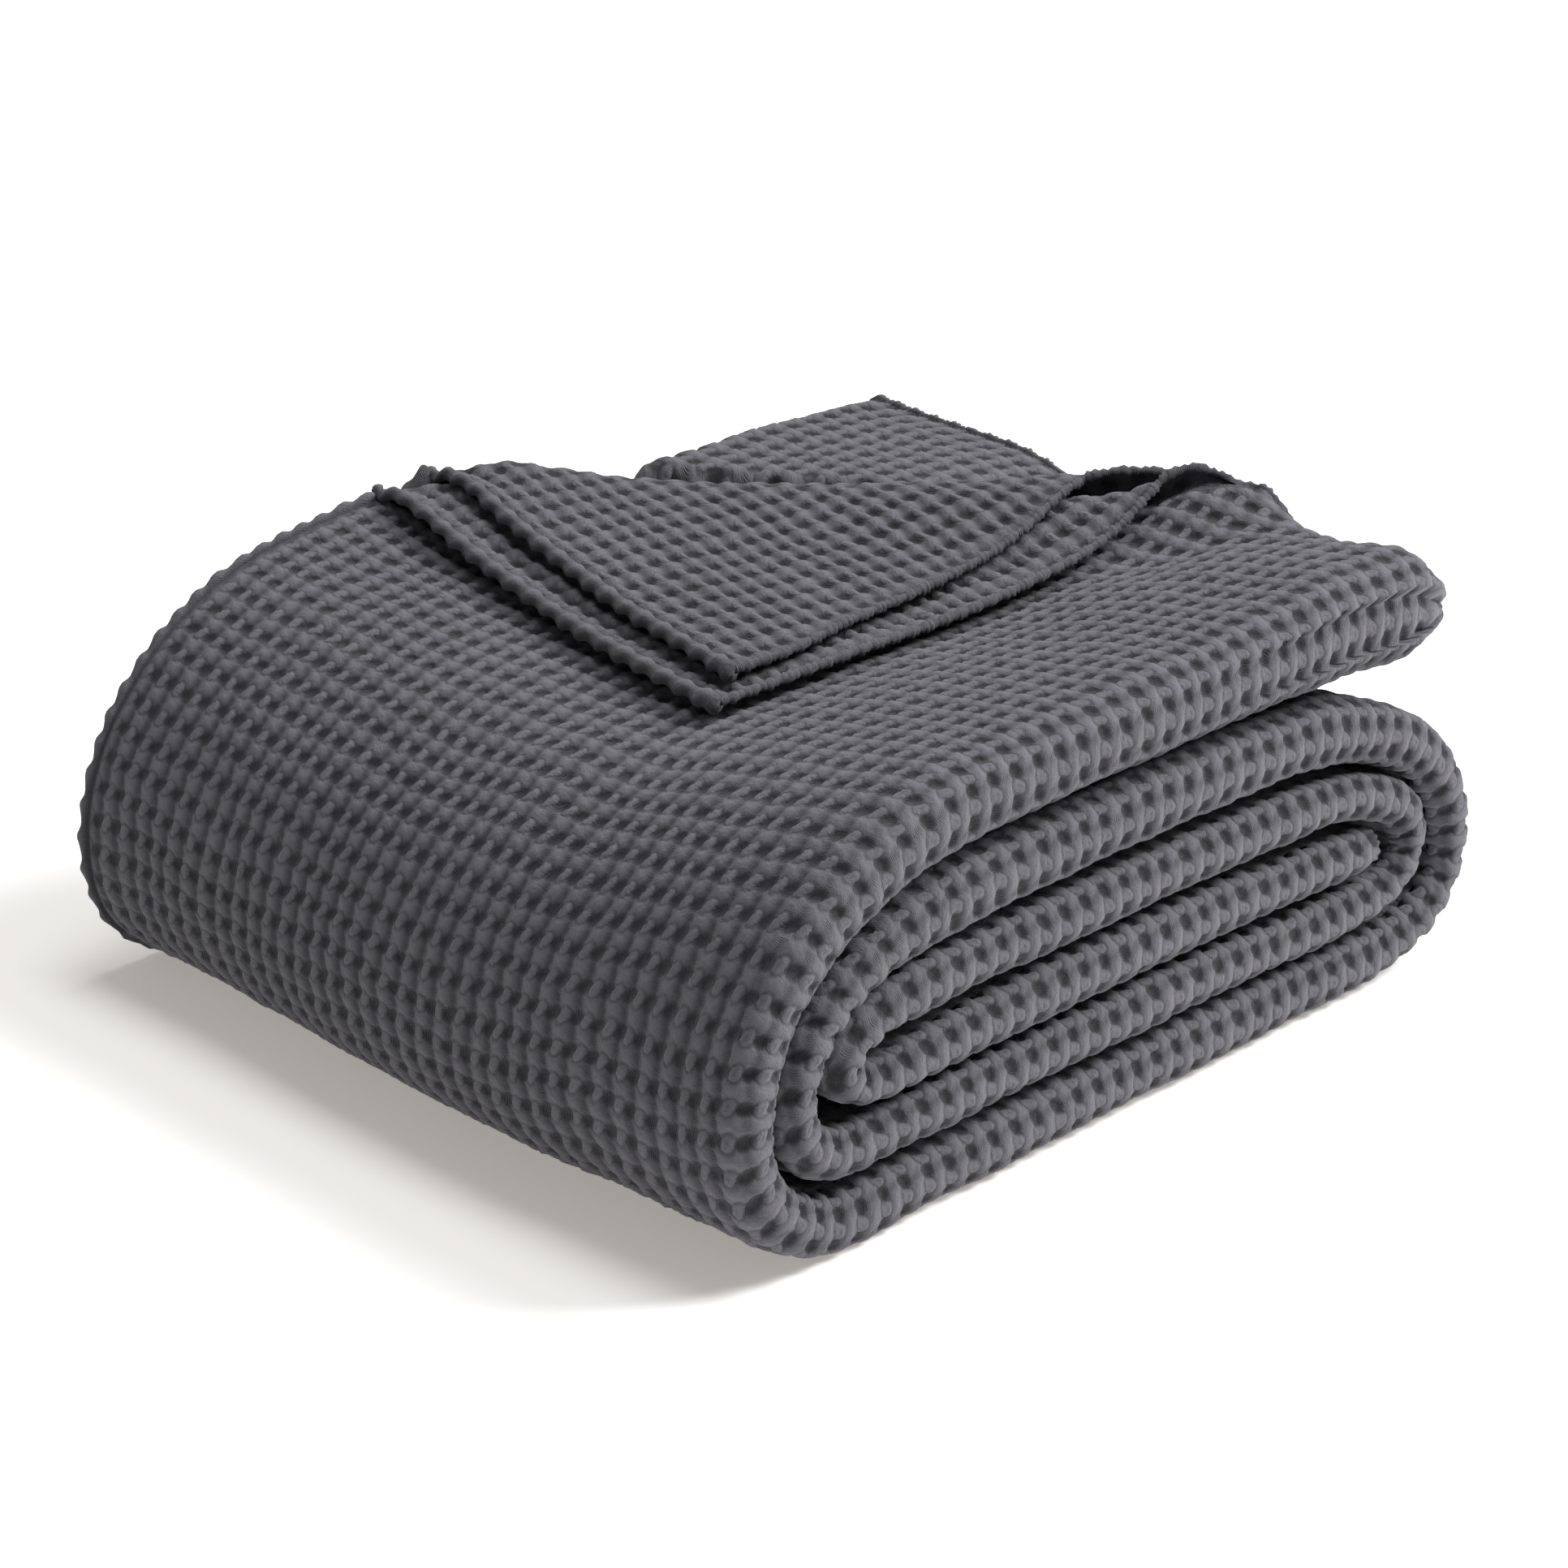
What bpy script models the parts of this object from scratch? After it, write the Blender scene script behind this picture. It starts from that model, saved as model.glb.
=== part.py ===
# Waffle weave cotton blanket, folded to a soft block.
#
# One cotton panel. It is folded lengthwise into a strip of four plies, and the
# strip is then folded back and forth, round itself, into six passes that lie
# one on the other. The far left corner of the two upper plies is turned back
# diagonally over the top. Everything is one sheet: a grid primitive whose
# points are carried onto the folds by the functions below, then thickened.
#
# Metres, +Z up. The origin is on the underside, in the middle of the block.
# The four-ply fold edges face +X, the first roll of the strip faces -Y.

import bpy
import bmesh
import numpy as np
from math import pi

# ------------------------------------------------------------------ sizes
WIDTH = 0.372            # across the strip, from its loose edges to its fold edges
SHEET = 0.0030           # thickness of the cloth
GROUND = 0.00005         # points lower than this lie on the ground
CLEAR = 0.0014           # air kept between two passes
LOOSE_EDGE_X = -0.1830   # woven edges of the two upper plies
INNER_FOLD_GAP = 0.0085  # how far the inner fold edge lies inside the outer one
FOLD_BACK_X = -0.166     # fold edge on the loose side, in the lower passes
FOLD_BACK_TOP_X = -0.127 # the same fold edge on the top pass, at the turned corner
TOE_TOP = 0.030          # length over which the end of the top pass closes
TOE_LAST = 0.022         # the same for the last pass
ARCH = (0.071, 0.176, 0.024, 0.0085)  # arch of the upper plies at the right end of the crest: place, reach, rise
EAR = 0.036              # length over which the crest's left end is rounded off
SQUARE = 0.82            # roundness of the outer fold edges, 1 for a half circle
SWELL = 0.038            # rise of the inner plies where the turned corner uncovers them
SWELL_REACH = (0.003, 0.050)  # where that rise begins behind the crest, and its length
CENTRE = (0.0000, 0.0015)   # middle of the block in plan, carried to the origin

# One row per station of the strip's centre line, seen from the fold-edge end:
# y, z, and half the thickness of the four-ply strip there.
PASSES = {
    "top": [
        (0.1885, 0.1500, 0.0250), (0.1650, 0.1520, 0.0252), (0.1300, 0.1540, 0.0235), (0.0500, 0.1525, 0.0195),
        (-0.0300, 0.1520, 0.0185), (-0.1100, 0.1470, 0.0178)],
    "front_wrap": [
        (-0.1400, 0.1370, 0.0160), (-0.1670, 0.1205, 0.0135), (-0.1850, 0.1000, 0.0120), (-0.1945, 0.0780, 0.0115),
        (-0.1965, 0.0560, 0.0115), (-0.1900, 0.0350, 0.0118), (-0.1760, 0.0205, 0.0125), (-0.1580, 0.0128, 0.0133)],
    "bottom": [
        (-0.1100, 0.0130, 0.0137), (-0.0300, 0.0130, 0.0137), (0.0500, 0.0130, 0.0137), (0.1300, 0.0125, 0.0132)],
    "back_wrap": [
        (0.1600, 0.0130, 0.0124), (0.1830, 0.0195, 0.0108), (0.1965, 0.0325, 0.0103), (0.2005, 0.0490, 0.0104),
        (0.1965, 0.0660, 0.0108), (0.1865, 0.0815, 0.0114), (0.1700, 0.0956, 0.0123)],
    "second": [
        (0.1300, 0.1114, 0.0140), (0.0500, 0.1180, 0.0148), (-0.0300, 0.1182, 0.0148), (-0.1100, 0.1140, 0.0142)],
    "second_turn": [
        (-0.1380, 0.1062, 0.0118), (-0.1575, 0.0942, 0.0102), (-0.1698, 0.0795, 0.0098), (-0.1735, 0.0635, 0.0098),
        (-0.1693, 0.0487, 0.0100), (-0.1565, 0.0405, 0.0104)],
    "third": [
        (-0.1100, 0.0392, 0.0112), (-0.0300, 0.0388, 0.0114), (0.0500, 0.0383, 0.0112), (0.1300, 0.0366, 0.0102)],
    "third_turn": [
        (0.1570, 0.0390, 0.0096), (0.1700, 0.0475, 0.0094), (0.1734, 0.0588, 0.0094), (0.1666, 0.0703, 0.0096),
        (0.1508, 0.0787, 0.0100)],
    "fourth": [
        (0.1300, 0.0845, 0.0103), (0.0500, 0.0888, 0.0119), (-0.0300, 0.0895, 0.0122), (-0.1100, 0.0884, 0.0114)],
    "fourth_turn": [
        (-0.1310, 0.0854, 0.0096), (-0.1455, 0.0794, 0.0087), (-0.1508, 0.0714, 0.0084), (-0.1455, 0.0637, 0.0087),
        (-0.1310, 0.0604, 0.0094)],
    "fifth": [
        (-0.1100, 0.0616, 0.0108), (-0.0300, 0.0636, 0.0122), (0.0500, 0.0630, 0.0122), (0.1300, 0.0597, 0.0103),
        (0.1485, 0.0591, 0.0101)],
}

# The block lies lower away from its fold edges, most of all in the middle of the top.
# Part of the full height across the block, at the places HEIGHT_X, in the front half and at the back.
HEIGHT_X = (-0.186, -0.100, -0.030, 0.0575, 0.120, 0.186)
HEIGHT_FRONT = (0.930, 0.875, 0.850, 0.862, 0.940, 1.000)
HEIGHT_BACK = (0.905, 0.850, 0.835, 0.845, 0.950, 1.010)

# The turned-back corner, one row per ply. All places are in plan:
#   crest_left / crest_right  where the crest meets the woven edge and the end hem
#   corner_was / corner_now   the ply's own corner before and after it is turned
#   bow     how far the flap's end hem bows out
#   bend    radius of the bend at the crest, and at its left end
#   ear     how far the crest drops at its left end
#   stack / rest   height of the crest and of the lying flap above the top pass
#   fall / ramp    length of the flap's fall, and of the ply's rise towards the crest
#   rise / fade    height of that rise at both ends and extra at the left one, and how it dies out past the right end
FLAPS = {
    "upper_outer": dict(crest_left=(-0.1830, -0.032), crest_right=(0.0920, 0.1855), corner_was=(-0.1830, 0.1855),
                        corner_now=(0.057, -0.083), bow=0.006, bend=(0.0056, 0.0048), ear=0.0042, stack=0.0112, rest=0.0082, fall=0.110,
                        ramp=(0.090, 0.055), rise=(-0.002, 0.016, 0.006), fade=(0.75, 0.100)),
    "upper_inner": dict(crest_left=(-0.1800, -0.006), crest_right=(0.0945, 0.1970), corner_was=(-0.1800, 0.1970),
                        corner_now=(0.047, -0.066), bow=0.005, bend=(0.0118, 0.0052), ear=0.0070, stack=0.0168, rest=0.0138, fall=0.160,
                        ramp=(0.080, 0.055), fade=(1.0, 0.026)),
}


# ------------------------------------------------------------------ section
def smooth(x):
    x = np.clip(x, 0.0, 1.0)
    return x * x * (3.0 - 2.0 * x)


def make_path(steps=3000):
    """Smooth centre line through the stations, with its normal and half thickness by length."""
    pts = np.array([row for rows in PASSES.values() for row in rows])
    key = np.concatenate([[0.0], np.cumsum(np.sqrt(np.hypot(np.diff(pts[:, 0]), np.diff(pts[:, 1]))))])
    slope = np.zeros_like(pts)
    slope[0] = (pts[1] - pts[0]) / (key[1] - key[0])
    slope[-1] = (pts[-1] - pts[-2]) / (key[-1] - key[-2])
    for i in range(1, len(pts) - 1):
        before = (pts[i] - pts[i - 1]) / (key[i] - key[i - 1])
        after = (pts[i + 1] - pts[i]) / (key[i + 1] - key[i])
        share = (key[i + 1] - key[i]) / (key[i + 1] - key[i - 1])
        slope[i] = before * share + after * (1.0 - share)
    t = np.linspace(0.0, key[-1], steps)
    i = np.clip(np.searchsorted(key, t, side="right") - 1, 0, len(pts) - 2)
    gap = (key[i + 1] - key[i])[:, None]
    s = ((t - key[i])[:, None]) / gap
    line = ((2 * s**3 - 3 * s**2 + 1) * pts[i] + (s**3 - 2 * s**2 + s) * gap * slope[i]
            + (-2 * s**3 + 3 * s**2) * pts[i + 1] + (s**3 - s**2) * gap * slope[i + 1])
    length = np.concatenate([[0.0], np.cumsum(np.hypot(np.diff(line[:, 0]), np.diff(line[:, 1])))])
    ty, tz = np.gradient(line[:, 0], length), np.gradient(line[:, 1], length)
    size = np.hypot(ty, tz)
    return dict(length=length, y=line[:, 0], z=line[:, 1], half=line[:, 2], ny=tz / size, nz=-ty / size,
                total=length[-1], stations=np.interp(key, t, length))


PATH = make_path()


def along(v):
    """Centre line at length v: y, z, half thickness, normal."""
    return [np.interp(v, PATH["length"], PATH[k]) for k in ("y", "z", "half", "ny", "nz")]


def top_level_table():
    v = np.linspace(0.0, 0.62, 900)
    y, z, half, ny, nz = along(v)
    a = half - (SHEET + CLEAR) / 2
    keep = nz > 0.2
    return (y + ny * a)[keep][::-1], (z + nz * a)[keep][::-1]


TOP_Y, TOP_Z = top_level_table()


def top_level(y):
    """Height of the upper outer ply on the top pass, before the block is lowered away from its fold edges."""
    return np.interp(y, TOP_Y, TOP_Z)


def height_part(x, y):
    """Part of the full height at a place in plan."""
    front, back = np.interp(x, HEIGHT_X, HEIGHT_FRONT), np.interp(x, HEIGHT_X, HEIGHT_BACK)
    return front + (back - front) * smooth((y + 0.04) / 0.18)


def settle(x, y, z):
    """Lower and draw in the block away from its fold edges; the underside stays flat."""
    e = SHEET / 2
    z = e + (z - e) * height_part(x, y)
    draw = 0.085 * (1.0 - smooth((x + 0.186) / 0.26)) * smooth(-y / 0.12)
    return x - CENTRE[0], y * (1.0 - draw) - CENTRE[1], z


def end_close(v):
    """How far a fold tube is open near the two ends of the strip, 1 inside."""
    top = np.clip(v / TOE_TOP, 0.0, 1.0)
    last = np.clip((PATH["total"] - v) / TOE_LAST, 0.0, 1.0)
    g_top = 0.36 + 0.64 * np.sqrt(1.0 - (1.0 - top) ** 2)
    g_last = 0.80 + 0.20 * np.sqrt(1.0 - (1.0 - last) ** 2)
    return g_top, g_last


def across(seg, s, v):
    """Across the strip at length v, span by span: 0 upper outer ply, 1 outer fold edge,
    2 lower outer ply, 3 fold edge on the loose side, 4 lower inner ply, 5 inner fold edge,
    6 upper inner ply. s is x along a ply and 0..1 round a fold edge.
    Returns x and the offset, +1 on the strip's outer face and -1 on its inner face."""
    half = along(v)[2]
    a = half - (SHEET + CLEAR) / 2
    g_top, g_last = end_close(v)
    g = np.minimum(g_top, g_last)
    bulge = a * (0.25 + 0.75 * g)
    tip = WIDTH / 2 - SHEET / 2 - (1.0 - g) * a * 0.9
    x_u = tip - bulge
    tip_in = np.minimum(tip - INNER_FOLD_GAP, x_u + 0.9 * bulge - 0.004)
    x_in = tip_in - a / 3.0
    on_top = 1.0 - smooth((v - 0.14) / 0.16)
    r_f = a / 3.0
    x_f = FOLD_BACK_X + (FOLD_BACK_TOP_X - FOLD_BACK_X) * on_top + r_f
    high = np.select([seg == 0, seg == 2], [x_u, x_u], x_in)
    low = np.select([seg == 0, seg == 6], [np.full_like(v, LOOSE_EDGE_X), np.full_like(v, LOOSE_EDGE_X + 0.003)], x_f)
    ply = np.where(s > 0.12, 0.12 + (s - 0.12) * (high - 0.12) / (X_END - 0.12), s)
    ply = np.where(s < -0.10, -0.10 + (s + 0.10) * (low + 0.10) / (-X_END + 0.10), ply)
    ang = pi * s
    x = np.select([seg == 1, seg == 3, seg == 5],
                  [x_u + bulge * np.abs(np.sin(ang)) ** SQUARE, x_f - r_f * np.sin(ang), x_in + (a / 3.0) * np.sin(ang)], ply)
    one = np.ones_like(v)
    off = np.select([seg == 0, seg == 1, seg == 2, seg == 3, seg == 4, seg == 5],
                    [one, np.sign(np.cos(ang)) * np.abs(np.cos(ang)) ** SQUARE, -one, -2.0 / 3.0 - np.cos(ang) / 3.0, -one / 3.0, -np.cos(ang) / 3.0], one / 3.0)
    return x, off


def crest_frame(flap):
    a, b, was = (np.array(flap[k]) for k in ("crest_left", "crest_right", "corner_was"))
    u, w = b - a, was - a
    size = np.hypot(*u)
    back = np.array([-u[1], u[0]]) / size
    return a, u, w, size, back, u[0] * w[1] - u[1] * w[0]


def bend_at(share, flap):
    """Radius of the bend at a share of the way along the crest."""
    return flap["bend"][0] + (flap["bend"][1] - flap["bend"][0]) * (1.0 - smooth(share / 0.24))


def crest_ramp(x, y, flap):
    """0 well before the crest of a turned corner, 1 at the crest and beyond it."""
    a, u, w, size, back, det = crest_frame(flap)
    behind = (x - a[0]) * back[0] + (y - a[1]) * back[1]
    share = ((x - a[0]) * u[0] + (y - a[1]) * u[1]) / size**2
    ramp = flap["ramp"][0] + (flap["ramp"][1] - flap["ramp"][0]) * np.clip(share, 0.0, 1.0)
    ramp = ramp * (1.0 - 0.5 * (1.0 - smooth(share / 0.24)) * (flap["bend"][0] > 0.008))
    return smooth(1.0 + behind / ramp) ** 2 * (1.0 - flap["fade"][0] * smooth((share - 1.0) * size / flap["fade"][1])), share


def crest_lift(x, y, flap):
    """Rise of the outer ply towards the crest of its turned corner."""
    ramp, share = crest_ramp(x, y, flap)
    rise = flap["rise"][0] + (flap["rise"][1] - flap["rise"][0]) * np.clip(share, 0.0, 1.0) ** 2
    return (rise + flap["rise"][2] * (1.0 - smooth(share / 0.22))) * ramp


def beyond_crest(x, y, flap):
    """Length of cloth beyond the crest, and the share of the way along the crest."""
    a, u, w, size, back, det = crest_frame(flap)
    px, py = x - a[0], y - a[1]
    return (u[0] * py - u[1] * px) / det * (w @ back), (px * w[1] - py * w[0]) / det


def turn_corner(x, y, z, flap):
    """Carry the part of a ply beyond its crest over the bend and back onto the top."""
    a, u, w, size, back, det = crest_frame(flap)
    outer = FLAPS["upper_outer"]
    flat, share = beyond_crest(x, y, flap)
    depth, bend, stack = w @ back, bend_at(share, flap), flap["stack"]
    cx, cy = a[0] + u[0] * share, a[1] + u[1] * share
    turn = np.clip(flat / bend, 0.0, pi)
    ear = 1.0 - smooth(share * size / EAR)
    reach = bend * np.sin(turn) * (1.0 - 0.5 * ear)
    bx, by = cx + back[0] * reach, cy + back[1] * reach
    bz = top_level(cy) + (crest_lift(cx, cy, outer) + stack - bend * (1.0 + np.cos(turn))
                          - flap["ear"] * ear * (1.0 - np.cos(turn)) / 2) / height_part(cx, cy)
    over = np.clip((flat - pi * bend) / (depth - pi * bend), 0.0, 1.0)
    f = np.array(flap["corner_now"]) - a
    bow = 4.0 * flap["bow"] * np.clip(share, 0.0, 1.0) * over
    fx, fy = cx + f[0] * over + bow, cy + f[1] * over
    reach = abs(f @ back) * over
    rest = flap["rest"] + (stack - flap["rest"]) * (1.0 - smooth(reach / flap["fall"])) - flap["ear"] * ear * (1.0 - smooth(reach / 0.035))
    fz = top_level(fy) + (crest_lift(fx, fy, outer) + rest) / height_part(fx, fy)
    flapped = flat > pi * bend
    turned = (flat > 0.0) & ~flapped
    return (np.where(flapped, fx, np.where(turned, bx, x)), np.where(flapped, fy, np.where(turned, by, y)),
            np.where(flapped, fz, np.where(turned, bz, z)))


def end_place(seg, x, off, v):
    """Where the strip's end lies on the top pass: the turned corner leaves it open."""
    upper = off > 0.15
    first = np.where(off > 0.6, FLAPS["upper_outer"]["crest_right"][0], FLAPS["upper_inner"]["crest_right"][0])
    folded_in = np.where(upper, smooth((x - first) / 0.035), 1.0)
    end = smooth(1.0 - v / 0.17)
    short = np.where(upper, np.where(off > 0.6, 0.0068, -0.0072) * (1.0 - folded_in), -0.006 * (1.0 - smooth((x - 0.03) / 0.06)))
    short = short + np.where(upper & (off < 0.6), 0.011 * smooth((x - 0.074) / 0.020) * (1.0 - smooth((x - 0.115) / 0.03)), 0.0)
    short = short + np.where(np.abs(off) < 0.4, 0.010 * smooth((x - 0.10) / 0.035), 0.0)
    return folded_in, short * end


def plain_place(seg, s, v):
    """The strip before its corner is turned: x, y, z, offset, height with the end open, openness."""
    x, off = across(seg, s, v)
    y, z, half, ny, nz = along(v)
    a = half - (SHEET + CLEAR) / 2
    g_top, g_last = end_close(v)
    folded_in, short = end_place(seg, x, off, v)
    fade = 1.0 - (1.0 - g_top) * folded_in
    g = fade * g_last
    sink = -0.30 * (1.0 - g_top) * folded_in - 0.05 * (1.0 - g_last)
    py = y - short + ny * a * (off * g + sink)
    return x, py, z + nz * a * (off * g + sink), off, z + nz * a * off, fade


def cloth_point(seg, s, v):
    """The middle of the sheet, at s across span seg and v along the folded strip."""
    seg, s, v = np.broadcast_arrays(np.asarray(seg), np.asarray(s, float), np.asarray(v, float))
    x, py, pz, off, open_z, fade = plain_place(seg, s, v)
    top = v < TOP_END
    outer, inner = FLAPS["upper_outer"], FLAPS["upper_inner"]
    hp = height_part(x, py)
    drop = np.where(top, top_level(py) - open_z, 0.0)
    a_in, u_in, w_in, size_in, back_in, det_in = crest_frame(inner)
    behind = (x - a_in[0]) * back_in[0] + (py - a_in[1]) * back_in[1]
    swell = SWELL * smooth((behind - SWELL_REACH[0]) / SWELL_REACH[1]) * (1.0 - smooth((x + 0.05) / 0.13))
    ramp_in, share_in = crest_ramp(x, py, inner)
    lift_in = ramp_in * (drop * hp + inner["stack"] - 2.0 * bend_at(share_in, inner) + crest_lift(x, py, outer))
    lift = np.select([top & (seg == 0), top & (seg == 6), top & (seg == 4), top & (seg == 3), top & (seg == 2)],
                     [crest_lift(x, py, outer), lift_in, swell, swell * (0.775 + 0.675 * (off + 2 / 3)), 0.55 * swell], 0.0)
    pz = pz + lift / hp * np.where(off > 0.15, fade, 1.0)
    for span, flap in ((0, outer), (6, inner)):
        fx, fy, fz = turn_corner(x, py, pz, flap)
        here = top & (seg == span)
        x, py, pz = np.where(here, fx, x), np.where(here, fy, py), np.where(here, fz, pz)
    near = np.exp(-((x - ARCH[0]) ** 2 + (py - ARCH[1]) ** 2) / ARCH[2] ** 2)
    pz = pz + np.where(top & ((seg == 0) | (seg == 6)), ARCH[3] * near, 0.0)
    return np.stack(settle(x, py, pz), -1)


# ------------------------------------------------------------------ stations of the grid
X_END = 0.1735           # nominal end of a ply, where its fold edge begins
TOP_END = PATH["stations"][5]
ACROSS = [  # span, stations across it
    (0, (-X_END, -0.100, -0.030, 0.020, 0.0575, 0.0760, 0.0920, 0.120)),
    (1, (0.0, 0.2, 0.4, 0.6, 0.8)),
    (2, (X_END, 0.120, 0.0575, -0.030, -0.100)),
    (3, (0.0, 0.5)),
    (4, (-X_END, -0.100, -0.030, 0.0575, 0.120)),
    (5, (0.0, 0.5)),
    (6, (X_END, 0.120, 0.0945, 0.0720, 0.0480, 0.010, -0.030, -0.100, -X_END)),
]


def column_rows(seg, s):
    """Lengths of the grid's rows in one column. On the two turned plies they follow the crest."""
    rows_top = np.array([0.0, 0.0022, 0.0060, 0.0110, 0.0170, 0.0245, 0.0340, 0.047, 0.064, 0.086])
    if seg in (0, 6):
        table = np.linspace(0.0, TOP_END, 1500)
        flap = FLAPS["upper_outer" if seg == 0 else "upper_inner"]
        x, y = plain_place(np.full(table.shape, seg), np.full(table.shape, s), table)[:2]
        flat, share = beyond_crest(x, y, flap)
        bend = pi * bend_at(share[0], flap)
        if flat[0] > 0.0:
            lying = np.concatenate([flat[0] + (bend - flat[0]) * np.array([0.0, 0.12, 0.30, 0.52, 0.76]),
                                    bend * np.array([1.0, 0.75, 0.5, 0.25, 0.0])])
            even = flat[0] * (1.0 - np.arange(10) / 9.0)
            far = np.clip(flat[0] / bend - 1.0, 0.0, 1.0)
            rows_top = np.interp(-(lying * far + even * (1.0 - far)), -flat, table)
        elif x[0] < 0.115:
            rows_top = rows_top * (0.10 + 0.90 * smooth((x[0] - flap["crest_right"][0]) / 0.05))
    rest = rows_top[-1] + (TOP_END - rows_top[-1]) * np.array([0.13, 0.32, 0.58, 1.0])
    return np.concatenate([rows_top, rest])


def grid_stations():
    columns = [(seg, s) for seg, values in ACROSS for s in values]
    k = PATH["stations"]
    after = np.concatenate([k[6:-1], [PATH["total"] - 0.0115, PATH["total"] - 0.0040, PATH["total"]]])
    lengths = np.array([np.concatenate([column_rows(seg, s), after]) for seg, s in columns])
    return np.array([c[0] for c in columns]), np.array([c[1] for c in columns]), lengths


# ------------------------------------------------------------------ build
def main():
    for ob in list(bpy.data.objects):
        bpy.data.objects.remove(ob, do_unlink=True)

    group = bpy.data.collections.new("waffle_blanket")
    bpy.context.scene.collection.children.link(group)

    seg, across_s, lengths = grid_stations()
    columns, rows = lengths.shape

    bm = bmesh.new()
    bmesh.ops.create_grid(bm, x_segments=columns - 1, y_segments=rows - 1, size=0.5)
    flat = np.array([vert.co[:] for vert in bm.verts])
    i = np.rint((flat[:, 0] + 0.5) * (columns - 1)).astype(int)
    j = np.rint((flat[:, 1] + 0.5) * (rows - 1)).astype(int)
    place = cloth_point(seg[i], across_s[i], lengths[i, j])
    for vert, p in zip(bm.verts, place):
        vert.co = p
    mesh = bpy.data.meshes.new("blanket")
    bm.to_mesh(mesh)
    bm.free()
    mesh.shade_smooth()

    cloth = bpy.data.objects.new("blanket", mesh)
    group.objects.link(cloth)

    body = cloth.modifiers.new("cloth thickness", "SOLIDIFY")
    body.thickness = SHEET
    body.offset = 0.0
    body.use_even_offset = False
    body.use_quality_normals = True

    cotton = bpy.data.materials.new("charcoal waffle cotton")
    cotton.use_nodes = True
    shader = cotton.node_tree.nodes["Principled BSDF"]
    shader.inputs["Base Color"].default_value = (0.115, 0.114, 0.124, 1.0)
    shader.inputs["Roughness"].default_value = 0.92
    shader.inputs["Metallic"].default_value = 0.0
    mesh.materials.append(cotton)

    # the thickened cloth, with its lowest ply flat on the ground
    bpy.context.view_layer.update()
    solid = bpy.data.meshes.new_from_object(cloth.evaluated_get(bpy.context.evaluated_depsgraph_get()))
    for vert in solid.vertices:
        if vert.co.z < GROUND:
            vert.co.z = 0.0
    cloth.modifiers.clear()
    cloth.data = solid
    bpy.data.meshes.remove(mesh)
    solid.name = "blanket"


main()
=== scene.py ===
# Waffle weave cotton blanket, folded to a soft block: the visible cloth, camera and light.
#
# The cloth lies on the same folds as its solid. The functions of the first part
# carry a point of the flat cloth onto the folds; the second part adds the weave's
# own relief, ridge by ridge and pit by pit, the rolled woven edges and the end hems.

import bpy
import numpy as np
from math import pi, sin, cos, radians
from mathutils import Matrix, Vector


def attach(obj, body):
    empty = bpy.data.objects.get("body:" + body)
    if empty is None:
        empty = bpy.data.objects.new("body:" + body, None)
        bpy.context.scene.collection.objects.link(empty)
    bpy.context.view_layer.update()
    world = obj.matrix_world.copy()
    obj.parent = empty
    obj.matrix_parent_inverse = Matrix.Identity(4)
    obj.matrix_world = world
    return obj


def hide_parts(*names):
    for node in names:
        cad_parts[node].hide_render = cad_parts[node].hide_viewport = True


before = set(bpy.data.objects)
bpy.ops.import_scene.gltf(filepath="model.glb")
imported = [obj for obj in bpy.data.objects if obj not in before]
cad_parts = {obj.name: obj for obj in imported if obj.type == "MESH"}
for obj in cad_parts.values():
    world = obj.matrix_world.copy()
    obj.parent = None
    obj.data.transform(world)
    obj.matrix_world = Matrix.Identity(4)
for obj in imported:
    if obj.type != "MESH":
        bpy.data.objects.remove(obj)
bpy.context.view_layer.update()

# ------------------------------------------------------------------ sizes
WIDTH = 0.372            # across the strip, from its loose edges to its fold edges
SHEET = 0.0030           # thickness of the cloth
GROUND = 0.00005         # points lower than this lie on the ground
CLEAR = 0.0014           # air kept between two passes
LOOSE_EDGE_X = -0.1830   # woven edges of the two upper plies
INNER_FOLD_GAP = 0.0085  # how far the inner fold edge lies inside the outer one
FOLD_BACK_X = -0.166     # fold edge on the loose side, in the lower passes
FOLD_BACK_TOP_X = -0.127 # the same fold edge on the top pass, at the turned corner
TOE_TOP = 0.030          # length over which the end of the top pass closes
TOE_LAST = 0.022         # the same for the last pass
ARCH = (0.071, 0.176, 0.024, 0.0085)  # arch of the upper plies at the right end of the crest: place, reach, rise
EAR = 0.036              # length over which the crest's left end is rounded off
SQUARE = 0.82            # roundness of the outer fold edges, 1 for a half circle
SWELL = 0.038            # rise of the inner plies where the turned corner uncovers them
SWELL_REACH = (0.004, 0.016)  # where that rise begins behind the crest, and its length
CENTRE = (0.0000, 0.0015)   # middle of the block in plan, carried to the origin

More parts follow.
